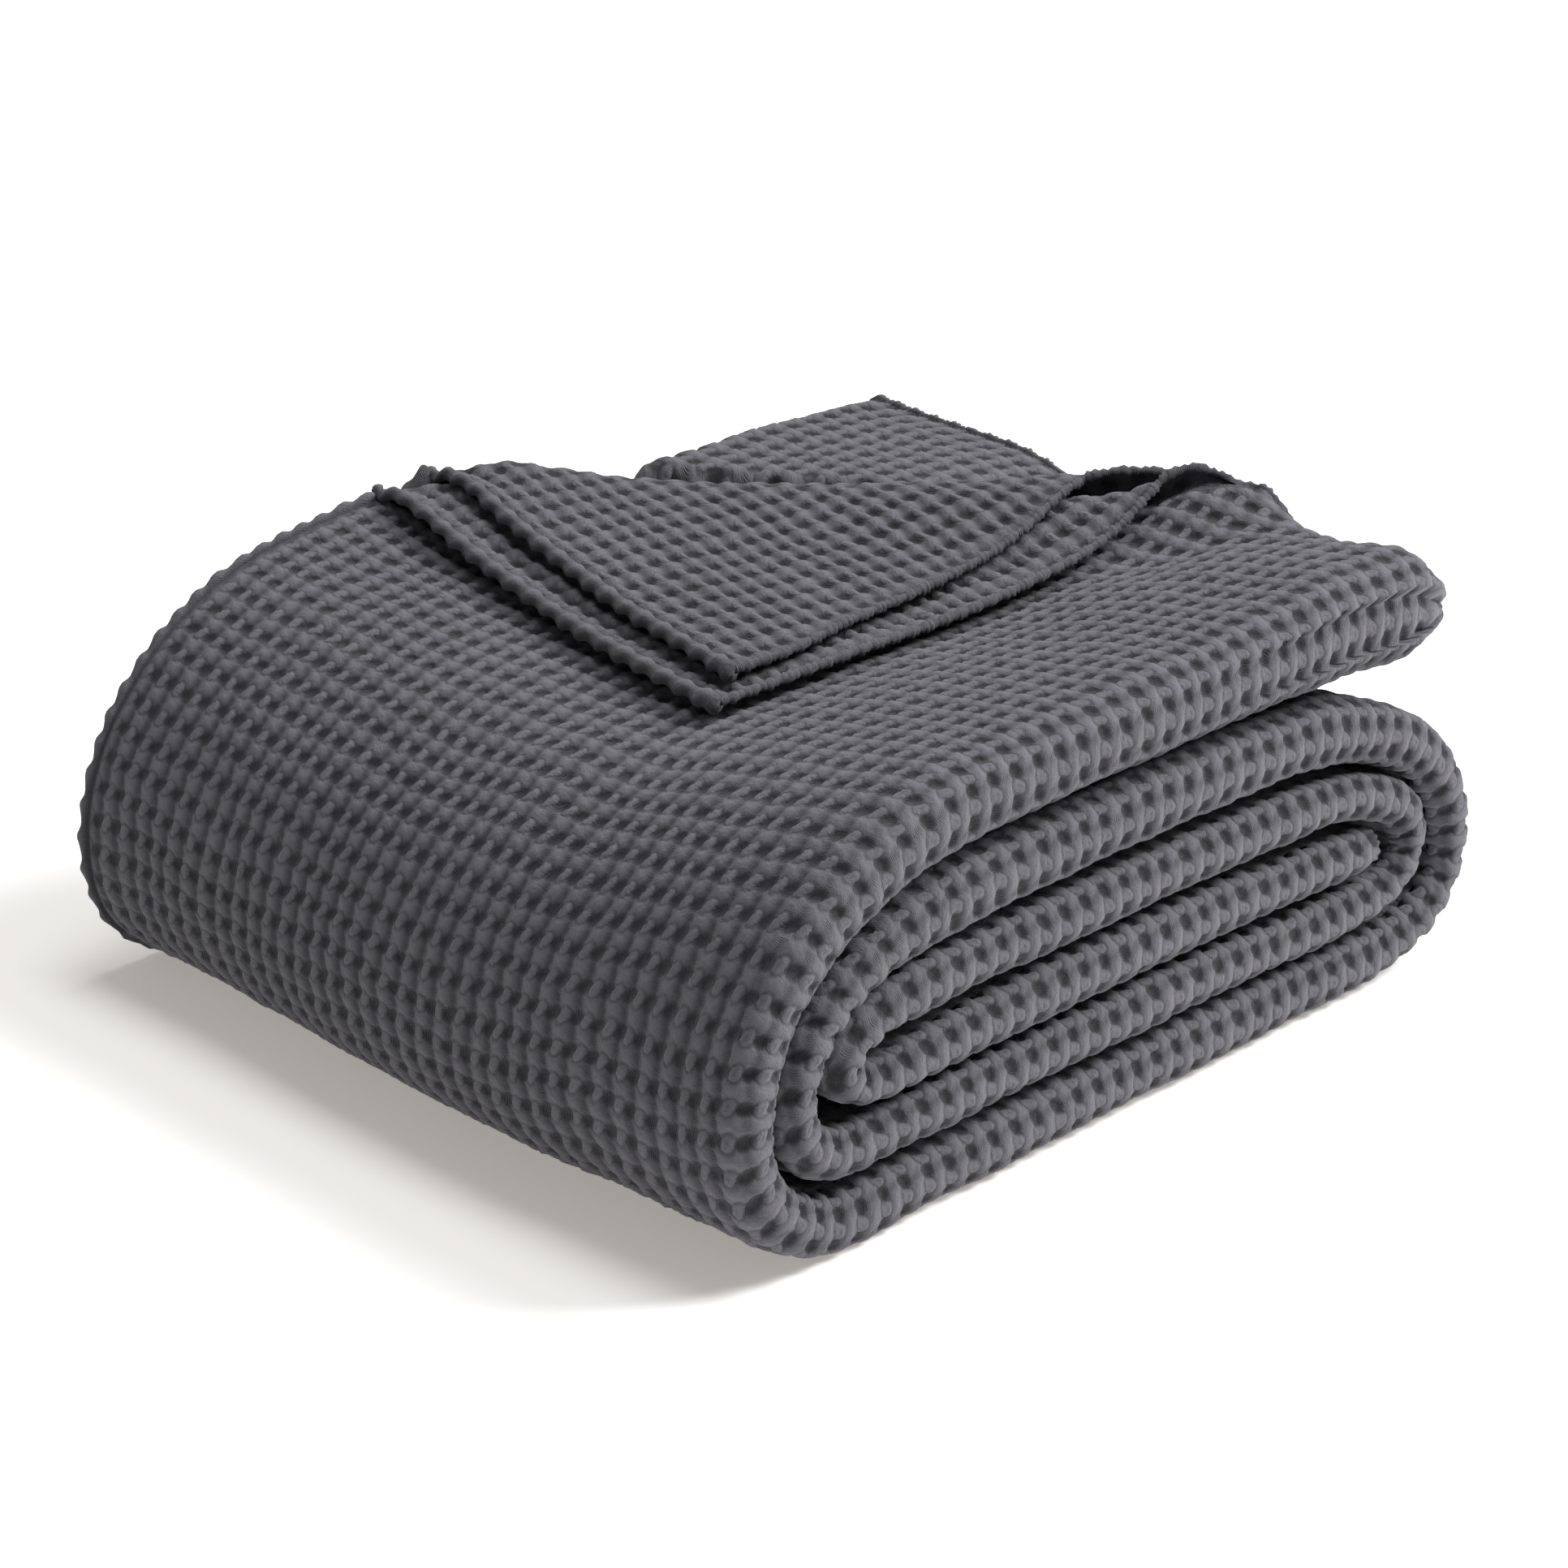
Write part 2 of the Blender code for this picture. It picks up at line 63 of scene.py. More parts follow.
# One row per station of the strip's centre line, seen from the fold-edge end:
# y, z, and half the thickness of the four-ply strip there.
PASSES = {
    "top": [
        (0.1885, 0.1500, 0.0250), (0.1650, 0.1520, 0.0252), (0.1300, 0.1540, 0.0235), (0.0500, 0.1525, 0.0195),
        (-0.0300, 0.1520, 0.0185), (-0.1100, 0.1470, 0.0178)],
    "front_wrap": [
        (-0.1400, 0.1370, 0.0160), (-0.1670, 0.1205, 0.0135), (-0.1850, 0.1000, 0.0120), (-0.1945, 0.0780, 0.0115),
        (-0.1965, 0.0560, 0.0115), (-0.1900, 0.0350, 0.0118), (-0.1760, 0.0205, 0.0125), (-0.1580, 0.0128, 0.0133)],
    "bottom": [
        (-0.1100, 0.0130, 0.0137), (-0.0300, 0.0130, 0.0137), (0.0500, 0.0130, 0.0137), (0.1300, 0.0125, 0.0132)],
    "back_wrap": [
        (0.1600, 0.0130, 0.0124), (0.1830, 0.0195, 0.0108), (0.1965, 0.0325, 0.0103), (0.2005, 0.0490, 0.0104),
        (0.1965, 0.0660, 0.0108), (0.1865, 0.0815, 0.0114), (0.1700, 0.0956, 0.0123)],
    "second": [
        (0.1300, 0.1114, 0.0140), (0.0500, 0.1180, 0.0148), (-0.0300, 0.1182, 0.0148), (-0.1100, 0.1140, 0.0142)],
    "second_turn": [
        (-0.1380, 0.1062, 0.0118), (-0.1575, 0.0942, 0.0102), (-0.1698, 0.0795, 0.0098), (-0.1735, 0.0635, 0.0098),
        (-0.1693, 0.0487, 0.0100), (-0.1565, 0.0405, 0.0104)],
    "third": [
        (-0.1100, 0.0392, 0.0112), (-0.0300, 0.0388, 0.0114), (0.0500, 0.0383, 0.0112), (0.1300, 0.0366, 0.0102)],
    "third_turn": [
        (0.1570, 0.0390, 0.0096), (0.1700, 0.0475, 0.0094), (0.1734, 0.0588, 0.0094), (0.1666, 0.0703, 0.0096),
        (0.1508, 0.0787, 0.0100)],
    "fourth": [
        (0.1300, 0.0845, 0.0103), (0.0500, 0.0888, 0.0119), (-0.0300, 0.0895, 0.0122), (-0.1100, 0.0884, 0.0114)],
    "fourth_turn": [
        (-0.1310, 0.0854, 0.0096), (-0.1455, 0.0794, 0.0087), (-0.1508, 0.0714, 0.0084), (-0.1455, 0.0637, 0.0087),
        (-0.1310, 0.0604, 0.0094)],
    "fifth": [
        (-0.1100, 0.0616, 0.0108), (-0.0300, 0.0636, 0.0122), (0.0500, 0.0630, 0.0122), (0.1300, 0.0597, 0.0103),
        (0.1485, 0.0591, 0.0101)],
}

# The block lies lower away from its fold edges, most of all in the middle of the top.
# Part of the full height across the block, at the places HEIGHT_X, in the front half and at the back.
HEIGHT_X = (-0.186, -0.100, -0.030, 0.0575, 0.120, 0.186)
HEIGHT_FRONT = (0.930, 0.875, 0.850, 0.862, 0.940, 1.000)
HEIGHT_BACK = (0.905, 0.850, 0.835, 0.845, 0.950, 1.010)

# The turned-back corner, one row per ply. All places are in plan:
#   crest_left / crest_right  where the crest meets the woven edge and the end hem
#   corner_was / corner_now   the ply's own corner before and after it is turned
#   bow     how far the flap's end hem bows out
#   bend    radius of the bend at the crest, and at its left end
#   ear     how far the crest drops at its left end
#   stack / rest   height of the crest and of the lying flap above the top pass
#   fall / ramp    length of the flap's fall, and of the ply's rise towards the crest
#   rise / fade    height of that rise at both ends and extra at the left one, and how it dies out past the right end
FLAPS = {
    "upper_outer": dict(crest_left=(-0.1830, -0.032), crest_right=(0.0920, 0.1855), corner_was=(-0.1830, 0.1855),
                        corner_now=(0.057, -0.083), bow=0.006, bend=(0.0056, 0.0048), ear=0.0042, stack=0.0112, rest=0.0082, fall=0.110,
                        ramp=(0.090, 0.055), rise=(-0.002, 0.016, 0.006), fade=(0.75, 0.100)),
    "upper_inner": dict(crest_left=(-0.1800, -0.006), crest_right=(0.0945, 0.1970), corner_was=(-0.1800, 0.1970),
                        corner_now=(0.047, -0.066), bow=0.005, bend=(0.0118, 0.0052), ear=0.0070, stack=0.0168, rest=0.0138, fall=0.160,
                        ramp=(0.080, 0.055), fade=(1.0, 0.026)),
}


# ------------------------------------------------------------------ section
def smooth(x):
    x = np.clip(x, 0.0, 1.0)
    return x * x * (3.0 - 2.0 * x)


def make_path(steps=3000):
    """Smooth centre line through the stations, with its normal and half thickness by length."""
    pts = np.array([row for rows in PASSES.values() for row in rows])
    key = np.concatenate([[0.0], np.cumsum(np.sqrt(np.hypot(np.diff(pts[:, 0]), np.diff(pts[:, 1]))))])
    slope = np.zeros_like(pts)
    slope[0] = (pts[1] - pts[0]) / (key[1] - key[0])
    slope[-1] = (pts[-1] - pts[-2]) / (key[-1] - key[-2])
    for i in range(1, len(pts) - 1):
        before = (pts[i] - pts[i - 1]) / (key[i] - key[i - 1])
        after = (pts[i + 1] - pts[i]) / (key[i + 1] - key[i])
        share = (key[i + 1] - key[i]) / (key[i + 1] - key[i - 1])
        slope[i] = before * share + after * (1.0 - share)
    t = np.linspace(0.0, key[-1], steps)
    i = np.clip(np.searchsorted(key, t, side="right") - 1, 0, len(pts) - 2)
    gap = (key[i + 1] - key[i])[:, None]
    s = ((t - key[i])[:, None]) / gap
    line = ((2 * s**3 - 3 * s**2 + 1) * pts[i] + (s**3 - 2 * s**2 + s) * gap * slope[i]
            + (-2 * s**3 + 3 * s**2) * pts[i + 1] + (s**3 - s**2) * gap * slope[i + 1])
    length = np.concatenate([[0.0], np.cumsum(np.hypot(np.diff(line[:, 0]), np.diff(line[:, 1])))])
    ty, tz = np.gradient(line[:, 0], length), np.gradient(line[:, 1], length)
    size = np.hypot(ty, tz)
    return dict(length=length, y=line[:, 0], z=line[:, 1], half=line[:, 2], ny=tz / size, nz=-ty / size,
                total=length[-1], stations=np.interp(key, t, length))


PATH = make_path()


def along(v):
    """Centre line at length v: y, z, half thickness, normal."""
    return [np.interp(v, PATH["length"], PATH[k]) for k in ("y", "z", "half", "ny", "nz")]


def top_level_table():
    v = np.linspace(0.0, 0.62, 900)
    y, z, half, ny, nz = along(v)
    a = half - (SHEET + CLEAR) / 2
    keep = nz > 0.2
    return (y + ny * a)[keep][::-1], (z + nz * a)[keep][::-1]


TOP_Y, TOP_Z = top_level_table()


def top_level(y):
    """Height of the upper outer ply on the top pass, before the block is lowered away from its fold edges."""
    return np.interp(y, TOP_Y, TOP_Z)


def height_part(x, y):
    """Part of the full height at a place in plan."""
    front, back = np.interp(x, HEIGHT_X, HEIGHT_FRONT), np.interp(x, HEIGHT_X, HEIGHT_BACK)
    return front + (back - front) * smooth((y + 0.04) / 0.18)


def settle(x, y, z):
    """Lower and draw in the block away from its fold edges; the underside stays flat."""
    e = SHEET / 2
    z = e + (z - e) * height_part(x, y)
    draw = 0.085 * (1.0 - smooth((x + 0.186) / 0.26)) * smooth(-y / 0.12)
    return x - CENTRE[0], y * (1.0 - draw) - CENTRE[1], z


def end_close(v):
    """How far a fold tube is open near the two ends of the strip, 1 inside."""
    top = np.clip(v / TOE_TOP, 0.0, 1.0)
    last = np.clip((PATH["total"] - v) / TOE_LAST, 0.0, 1.0)
    g_top = 0.36 + 0.64 * np.sqrt(1.0 - (1.0 - top) ** 2)
    g_last = 0.80 + 0.20 * np.sqrt(1.0 - (1.0 - last) ** 2)
    return g_top, g_last


def across(seg, s, v):
    """Across the strip at length v, span by span: 0 upper outer ply, 1 outer fold edge,
    2 lower outer ply, 3 fold edge on the loose side, 4 lower inner ply, 5 inner fold edge,
    6 upper inner ply. s is x along a ply and 0..1 round a fold edge.
    Returns x and the offset, +1 on the strip's outer face and -1 on its inner face."""
    half = along(v)[2]
    a = half - (SHEET + CLEAR) / 2
    g_top, g_last = end_close(v)
    g = np.minimum(g_top, g_last)
    bulge = a * (0.25 + 0.75 * g)
    tip = WIDTH / 2 - SHEET / 2 - (1.0 - g) * a * 0.9
    x_u = tip - bulge
    tip_in = np.minimum(tip - INNER_FOLD_GAP, x_u + 0.9 * bulge - 0.004)
    x_in = tip_in - a / 3.0
    on_top = 1.0 - smooth((v - 0.14) / 0.16)
    r_f = a / 3.0
    x_f = FOLD_BACK_X + (FOLD_BACK_TOP_X - FOLD_BACK_X) * on_top + r_f
    high = np.select([seg == 0, seg == 2], [x_u, x_u], x_in)
    low = np.select([seg == 0, seg == 6], [np.full_like(v, LOOSE_EDGE_X), np.full_like(v, LOOSE_EDGE_X + 0.003)], x_f)
    ply = np.where(s > 0.12, 0.12 + (s - 0.12) * (high - 0.12) / (X_END - 0.12), s)
    ply = np.where(s < -0.10, -0.10 + (s + 0.10) * (low + 0.10) / (-X_END + 0.10), ply)
    ang = pi * s
    x = np.select([seg == 1, seg == 3, seg == 5],
                  [x_u + bulge * np.abs(np.sin(ang)) ** SQUARE, x_f - r_f * np.sin(ang), x_in + (a / 3.0) * np.sin(ang)], ply)
    one = np.ones_like(v)
    off = np.select([seg == 0, seg == 1, seg == 2, seg == 3, seg == 4, seg == 5],
                    [one, np.sign(np.cos(ang)) * np.abs(np.cos(ang)) ** SQUARE, -one, -2.0 / 3.0 - np.cos(ang) / 3.0, -one / 3.0, -np.cos(ang) / 3.0], one / 3.0)
    return x, off


def crest_frame(flap):
    a, b, was = (np.array(flap[k]) for k in ("crest_left", "crest_right", "corner_was"))
    u, w = b - a, was - a
    size = np.hypot(*u)
    back = np.array([-u[1], u[0]]) / size
    return a, u, w, size, back, u[0] * w[1] - u[1] * w[0]


def bend_at(share, flap):
    """Radius of the bend at a share of the way along the crest."""
    return flap["bend"][0] + (flap["bend"][1] - flap["bend"][0]) * (1.0 - smooth(share / 0.24))


def crest_ramp(x, y, flap):
    """0 well before the crest of a turned corner, 1 at the crest and beyond it."""
    a, u, w, size, back, det = crest_frame(flap)
    behind = (x - a[0]) * back[0] + (y - a[1]) * back[1]
    share = ((x - a[0]) * u[0] + (y - a[1]) * u[1]) / size**2
    ramp = flap["ramp"][0] + (flap["ramp"][1] - flap["ramp"][0]) * np.clip(share, 0.0, 1.0)
    ramp = ramp * (1.0 - 0.5 * (1.0 - smooth(share / 0.24)) * (flap["bend"][0] > 0.008))
    return smooth(1.0 + behind / ramp) ** 2 * (1.0 - flap["fade"][0] * smooth((share - 1.0) * size / flap["fade"][1])), share


def crest_lift(x, y, flap):
    """Rise of the outer ply towards the crest of its turned corner."""
    ramp, share = crest_ramp(x, y, flap)
    rise = flap["rise"][0] + (flap["rise"][1] - flap["rise"][0]) * np.clip(share, 0.0, 1.0) ** 2
    return (rise + flap["rise"][2] * (1.0 - smooth(share / 0.22))) * ramp


def beyond_crest(x, y, flap):
    """Length of cloth beyond the crest, and the share of the way along the crest."""
    a, u, w, size, back, det = crest_frame(flap)
    px, py = x - a[0], y - a[1]
    return (u[0] * py - u[1] * px) / det * (w @ back), (px * w[1] - py * w[0]) / det


def turn_corner(x, y, z, flap):
    """Carry the part of a ply beyond its crest over the bend and back onto the top."""
    a, u, w, size, back, det = crest_frame(flap)
    outer = FLAPS["upper_outer"]
    flat, share = beyond_crest(x, y, flap)
    depth, bend, stack = w @ back, bend_at(share, flap), flap["stack"]
    cx, cy = a[0] + u[0] * share, a[1] + u[1] * share
    turn = np.clip(flat / bend, 0.0, pi)
    ear = 1.0 - smooth(share * size / EAR)
    reach = bend * np.sin(turn) * (1.0 - 0.5 * ear)
    bx, by = cx + back[0] * reach, cy + back[1] * reach
    bz = top_level(cy) + (crest_lift(cx, cy, outer) + stack - bend * (1.0 + np.cos(turn))
                          - flap["ear"] * ear * (1.0 - np.cos(turn)) / 2) / height_part(cx, cy)
    over = np.clip((flat - pi * bend) / (depth - pi * bend), 0.0, 1.0)
    f = np.array(flap["corner_now"]) - a
    bow = 4.0 * flap["bow"] * np.clip(share, 0.0, 1.0) * over
    fx, fy = cx + f[0] * over + bow, cy + f[1] * over
    reach = abs(f @ back) * over
    rest = flap["rest"] + (stack - flap["rest"]) * (1.0 - smooth(reach / flap["fall"])) - flap["ear"] * ear * (1.0 - smooth(reach / 0.035))
    fz = top_level(fy) + (crest_lift(fx, fy, outer) + rest) / height_part(fx, fy)
    flapped = flat > pi * bend
    turned = (flat > 0.0) & ~flapped
    return (np.where(flapped, fx, np.where(turned, bx, x)), np.where(flapped, fy, np.where(turned, by, y)),
            np.where(flapped, fz, np.where(turned, bz, z)))


def end_place(seg, x, off, v):
    """Where the strip's end lies on the top pass: the turned corner leaves it open."""
    upper = off > 0.15
    first = np.where(off > 0.6, FLAPS["upper_outer"]["crest_right"][0], FLAPS["upper_inner"]["crest_right"][0])
    folded_in = np.where(upper, smooth((x - first) / 0.035), 1.0)
    end = smooth(1.0 - v / 0.17)
    short = np.where(upper, np.where(off > 0.6, 0.0068, -0.0072) * (1.0 - folded_in), -0.006 * (1.0 - smooth((x - 0.03) / 0.06)))
    short = short + np.where(upper & (off < 0.6), 0.011 * smooth((x - 0.074) / 0.020) * (1.0 - smooth((x - 0.115) / 0.03)), 0.0)
    short = short + np.where(np.abs(off) < 0.4, 0.010 * smooth((x - 0.10) / 0.035), 0.0)
    return folded_in, short * end


def plain_place(seg, s, v):
    """The strip before its corner is turned: x, y, z, offset, height with the end open, openness."""
    x, off = across(seg, s, v)
    y, z, half, ny, nz = along(v)
    a = half - (SHEET + CLEAR) / 2
    g_top, g_last = end_close(v)
    folded_in, short = end_place(seg, x, off, v)
    fade = 1.0 - (1.0 - g_top) * folded_in
    g = fade * g_last
    sink = -0.30 * (1.0 - g_top) * folded_in - 0.05 * (1.0 - g_last)
    py = y - short + ny * a * (off * g + sink)
    return x, py, z + nz * a * (off * g + sink), off, z + nz * a * off, fade


def cloth_point(seg, s, v):
    """The middle of the sheet, at s across span seg and v along the folded strip."""
    seg, s, v = np.broadcast_arrays(np.asarray(seg), np.asarray(s, float), np.asarray(v, float))
    x, py, pz, off, open_z, fade = plain_place(seg, s, v)
    top = v < TOP_END
    outer, inner = FLAPS["upper_outer"], FLAPS["upper_inner"]
    hp = height_part(x, py)
    drop = np.where(top, top_level(py) - open_z, 0.0)
    a_in, u_in, w_in, size_in, back_in, det_in = crest_frame(inner)
    behind = (x - a_in[0]) * back_in[0] + (py - a_in[1]) * back_in[1]
    swell = SWELL * smooth((behind - SWELL_REACH[0]) / SWELL_REACH[1]) * (1.0 - smooth((x + 0.05) / 0.13))
    ramp_in, share_in = crest_ramp(x, py, inner)
    lift_in = ramp_in * (drop * hp + inner["stack"] - 2.0 * bend_at(share_in, inner) + crest_lift(x, py, outer))
    lift = np.select([top & (seg == 0), top & (seg == 6), top & (seg == 4), top & (seg == 3), top & (seg == 2)],
                     [crest_lift(x, py, outer), lift_in, swell, swell * (0.775 + 0.675 * (off + 2 / 3)), 0.55 * swell], 0.0)
    pz = pz + lift / hp * np.where(off > 0.15, fade, 1.0)
    for span, flap in ((0, outer), (6, inner)):
        fx, fy, fz = turn_corner(x, py, pz, flap)
        here = top & (seg == span)
        x, py, pz = np.where(here, fx, x), np.where(here, fy, py), np.where(here, fz, pz)
    near = np.exp(-((x - ARCH[0]) ** 2 + (py - ARCH[1]) ** 2) / ARCH[2] ** 2)
    pz = pz + np.where(top & ((seg == 0) | (seg == 6)), ARCH[3] * near, 0.0)
    return np.stack(settle(x, py, pz), -1)


# ------------------------------------------------------------------ the same heights, without kinks
X_END = 0.1735
TOP_END = PATH["stations"][5]


def soft_curve(values, width=0.036):
    """The same profile with its corners rounded over the given width."""
    step = 0.001
    xs = np.arange(-0.30, 0.3001, step)
    first = (values[1] - values[0]) / (HEIGHT_X[1] - HEIGHT_X[0])
    last = (values[-1] - values[-2]) / (HEIGHT_X[-1] - HEIGHT_X[-2])
    line = np.interp(xs, HEIGHT_X, values)
    line = np.where(xs < HEIGHT_X[0], values[0] + first * (xs - HEIGHT_X[0]), line)
    line = np.where(xs > HEIGHT_X[-1], values[-1] + last * (xs - HEIGHT_X[-1]), line)
    half = int(width / step)
    window = np.hanning(2 * half + 1)
    window /= window.sum()
    padded = np.concatenate([line[0] + first * step * np.arange(-half, 0), line, line[-1] + last * step * np.arange(1, half + 1)])
    return xs, np.convolve(padded, window, mode="valid")


SOFT_X, SOFT_FRONT = soft_curve(HEIGHT_FRONT)
SOFT_X, SOFT_BACK = soft_curve(HEIGHT_BACK)


def height_part(x, y):
    """Part of the full height at a place in plan."""
    front, back = np.interp(x, SOFT_X, SOFT_FRONT), np.interp(x, SOFT_X, SOFT_BACK)
    return front + (back - front) * smooth((y + 0.04) / 0.18)


# ------------------------------------------------------------------ weave
CELL_U = 0.0103          # from ridge to ridge, across the strip
CELL_V = 0.0116          # along the strip
RELIEF = 0.0025          # from the bottom of a pit to the top of a ridge
FLAP_U, FLAP_V = 0.0088, 0.0134   # the same cells as they lie on the turned corner
ROLL = 0.0023            # radius of the rolled woven edge
HEM = 0.0020             # radius of the turned end hem
FINE = 0.0013            # spacing of the mesh where it shows
PUFF = 0.0009            # how far the relief stands out of the middle of the sheet

rng = np.random.RandomState(7)
WAVES = [(rng.uniform(0.6, 1.6), rng.uniform(-1, 1), rng.uniform(0, 2 * pi), rng.uniform(0, 2 * pi)) for _ in range(14)]


def drift(a, b, scale, seed=0):
    """Slow random wander, about -1 to 1."""
    out = np.zeros(np.broadcast(a, b).shape)
    for k, (f, g, p, q) in enumerate(WAVES[seed % 5:seed % 5 + 8]):
        out += np.sin(2 * pi * (f * a + g * b * 1.3) / scale + p + seed) * np.cos(2 * pi * (f * b - g * a) / scale * 0.8 + q)
    return out / 3.0


def cloth_width(seg, s, v):
    """Length across the cloth from the outer fold edge's ridge line, and x on the flat cloth."""
    half = along(v)[2]
    a = half - (SHEET + CLEAR) / 2
    g_top, g_last = end_close(v)
    bulge = a * (0.25 + 0.75 * np.minimum(g_top, g_last))
    round_u = 0.5 * (a + bulge)
    x, off = across(seg, s, v)
    zero, one = np.zeros_like(v), np.ones_like(v)
    x_u, x_f = across(1 + 0 * seg, zero, v)[0], across(3 + 0 * seg, zero, v)[0]
    x_in = across(5 + 0 * seg, zero, v)[0]
    quarter = round_u * pi / 2
    r = a / 3.0
    return np.select(
        [seg == 0, seg == 1, seg == 2, seg == 3, seg == 4, seg == 5],
        [-quarter - (x_u - x), round_u * pi * (s - 0.5), quarter + (x_u - x), quarter + (x_u - x_f) + r * pi * s,
         quarter + (x_u - x_f) + r * pi + (x - x_f), quarter + (x_u - x_f) + r * pi + (x_in - x_f) + r * pi * s],
        quarter + (x_u - x_f) + 2 * r * pi + (x_in - x_f) + (x_in - x)), x


def lattice(seg, s, v):
    """Cell coordinates of the weave: across (ridges at whole numbers) and along the cloth."""
    width, x = cloth_width(seg, s, v)
    pu, pv = width / CELL_U, v / CELL_V
    xx, py = plain_place(seg, s, v)[:2]
    flipped = np.zeros(v.shape)
    for span, flap in ((0, FLAPS["upper_outer"]), (6, FLAPS["upper_inner"])):
        a, u, w, size, back, det = crest_frame(flap)
        flat, share = beyond_crest(xx, py, flap)
        depth, bend = w @ back, pi * bend_at(share, flap)
        f = np.array(flap["corner_now"]) - a
        over = (flat - bend) / (depth - bend)
        along_hem = np.hypot(*(np.array(flap["corner_now"]) - np.array(flap["crest_right"]))) / FLAP_U
        down = np.hypot(*f) / FLAP_V
        here = (seg == span) & (v < TOP_END) & (flat > (0.0 if span == 0 else -0.06))
        pu = np.where(here, share * along_hem + 0.35, pu)
        pv = np.where(here, (1.0 - over - share) * down + 0.2, pv)
        if span == 0:
            flipped = np.where(seg == 0, smooth(flat / 0.006), 0.0) * (v < TOP_END)
    jog = 0.07 * np.sin(2 * pi * pv + 0.6)
    wander_u = 0.12 * drift(pu, pv, 9.0, 1) + 0.045 * drift(pu, pv, 2.3, 3)
    wander_v = 0.14 * drift(pu, pv, 11.0, 2) + 0.045 * drift(pu, pv, 2.7, 4)
    return pu + jog + wander_u, pv + wander_v, 1.0 - 2.0 * flipped


def weave_height(pu, pv, loose):
    """Relief of the weave, about 0 in the pits and 1 on the web between them; loose = 1 where the cloth isn't drawn tight."""
    cv, cu = 0.5 - 0.5 * np.cos(2 * pi * pv), 0.5 + 0.5 * np.cos(2 * pi * pu)
    fu, fv = pu - np.round(pu), pv - np.round(pv)
    du = 0.5 - np.abs(fu)
    web = 0.60 + 0.34 * cv ** 0.8 * (0.40 + 0.60 * cu ** 0.6) + 0.06 * cu
    web = web * (1.0 - loose) + loose * (0.40 + 0.46 * cu ** 0.8 + 0.10 * cv)
    pit = 1.0 - smooth(((np.abs(du / 0.34) ** 2.4 + np.abs(fv / 0.31) ** 2.4) ** (1 / 2.4) - 0.45) / 0.60)
    cross = np.exp(-((du / 0.19) ** 2 + ((0.5 - np.abs(fv)) / 0.20) ** 2))
    knot = np.sqrt((fu / 0.20) ** 2 + (fv / 0.23) ** 2)
    dome = np.sqrt(np.clip(1.0 - (knot / 1.05) ** 2, 0.0, 1.0))
    cell = np.floor(pu + 0.5) * 12.9898 + np.floor(pv + 0.5) * 78.233
    chance = np.abs(np.sin(cell) * 43758.5453) % 1.0
    return (web - (0.66 - 0.18 * loose) * pit - (0.12 + 0.08 * loose) * cross + (0.13 + 0.12 * chance) * dome
            - 0.24 * np.exp(-((knot - 1.25) / 0.28) ** 2))


# ------------------------------------------------------------------ one large grid of the whole cloth
def unit(a):
    return a / np.maximum(np.linalg.norm(a, axis=-1, keepdims=True), 1e-12)


def spread(a, b, step=FINE):
    return np.linspace(a, b, max(2, int(round(abs(b - a) / step)) + 1))


SPANS = [(0, spread(-X_END, X_END)), (1, np.linspace(0, 1, int(0.056 / FINE) + 1)[1:-1]), (2, spread(X_END, -X_END)),
         (3, np.linspace(0, 1, 15)[1:-1]), (4, spread(-X_END, X_END)), (5, np.linspace(0, 1, 13)[1:-1]),
         (6, spread(X_END, -X_END))]
COLS = [(k, float(s)) for k, values in SPANS for s in values]
COL_SEG, COL_S = np.array([c[0] for c in COLS]), np.array([c[1] for c in COLS])
ROWS = np.concatenate([np.arange(0.0, PATH["total"] - 0.0005, FINE), [PATH["total"]]])


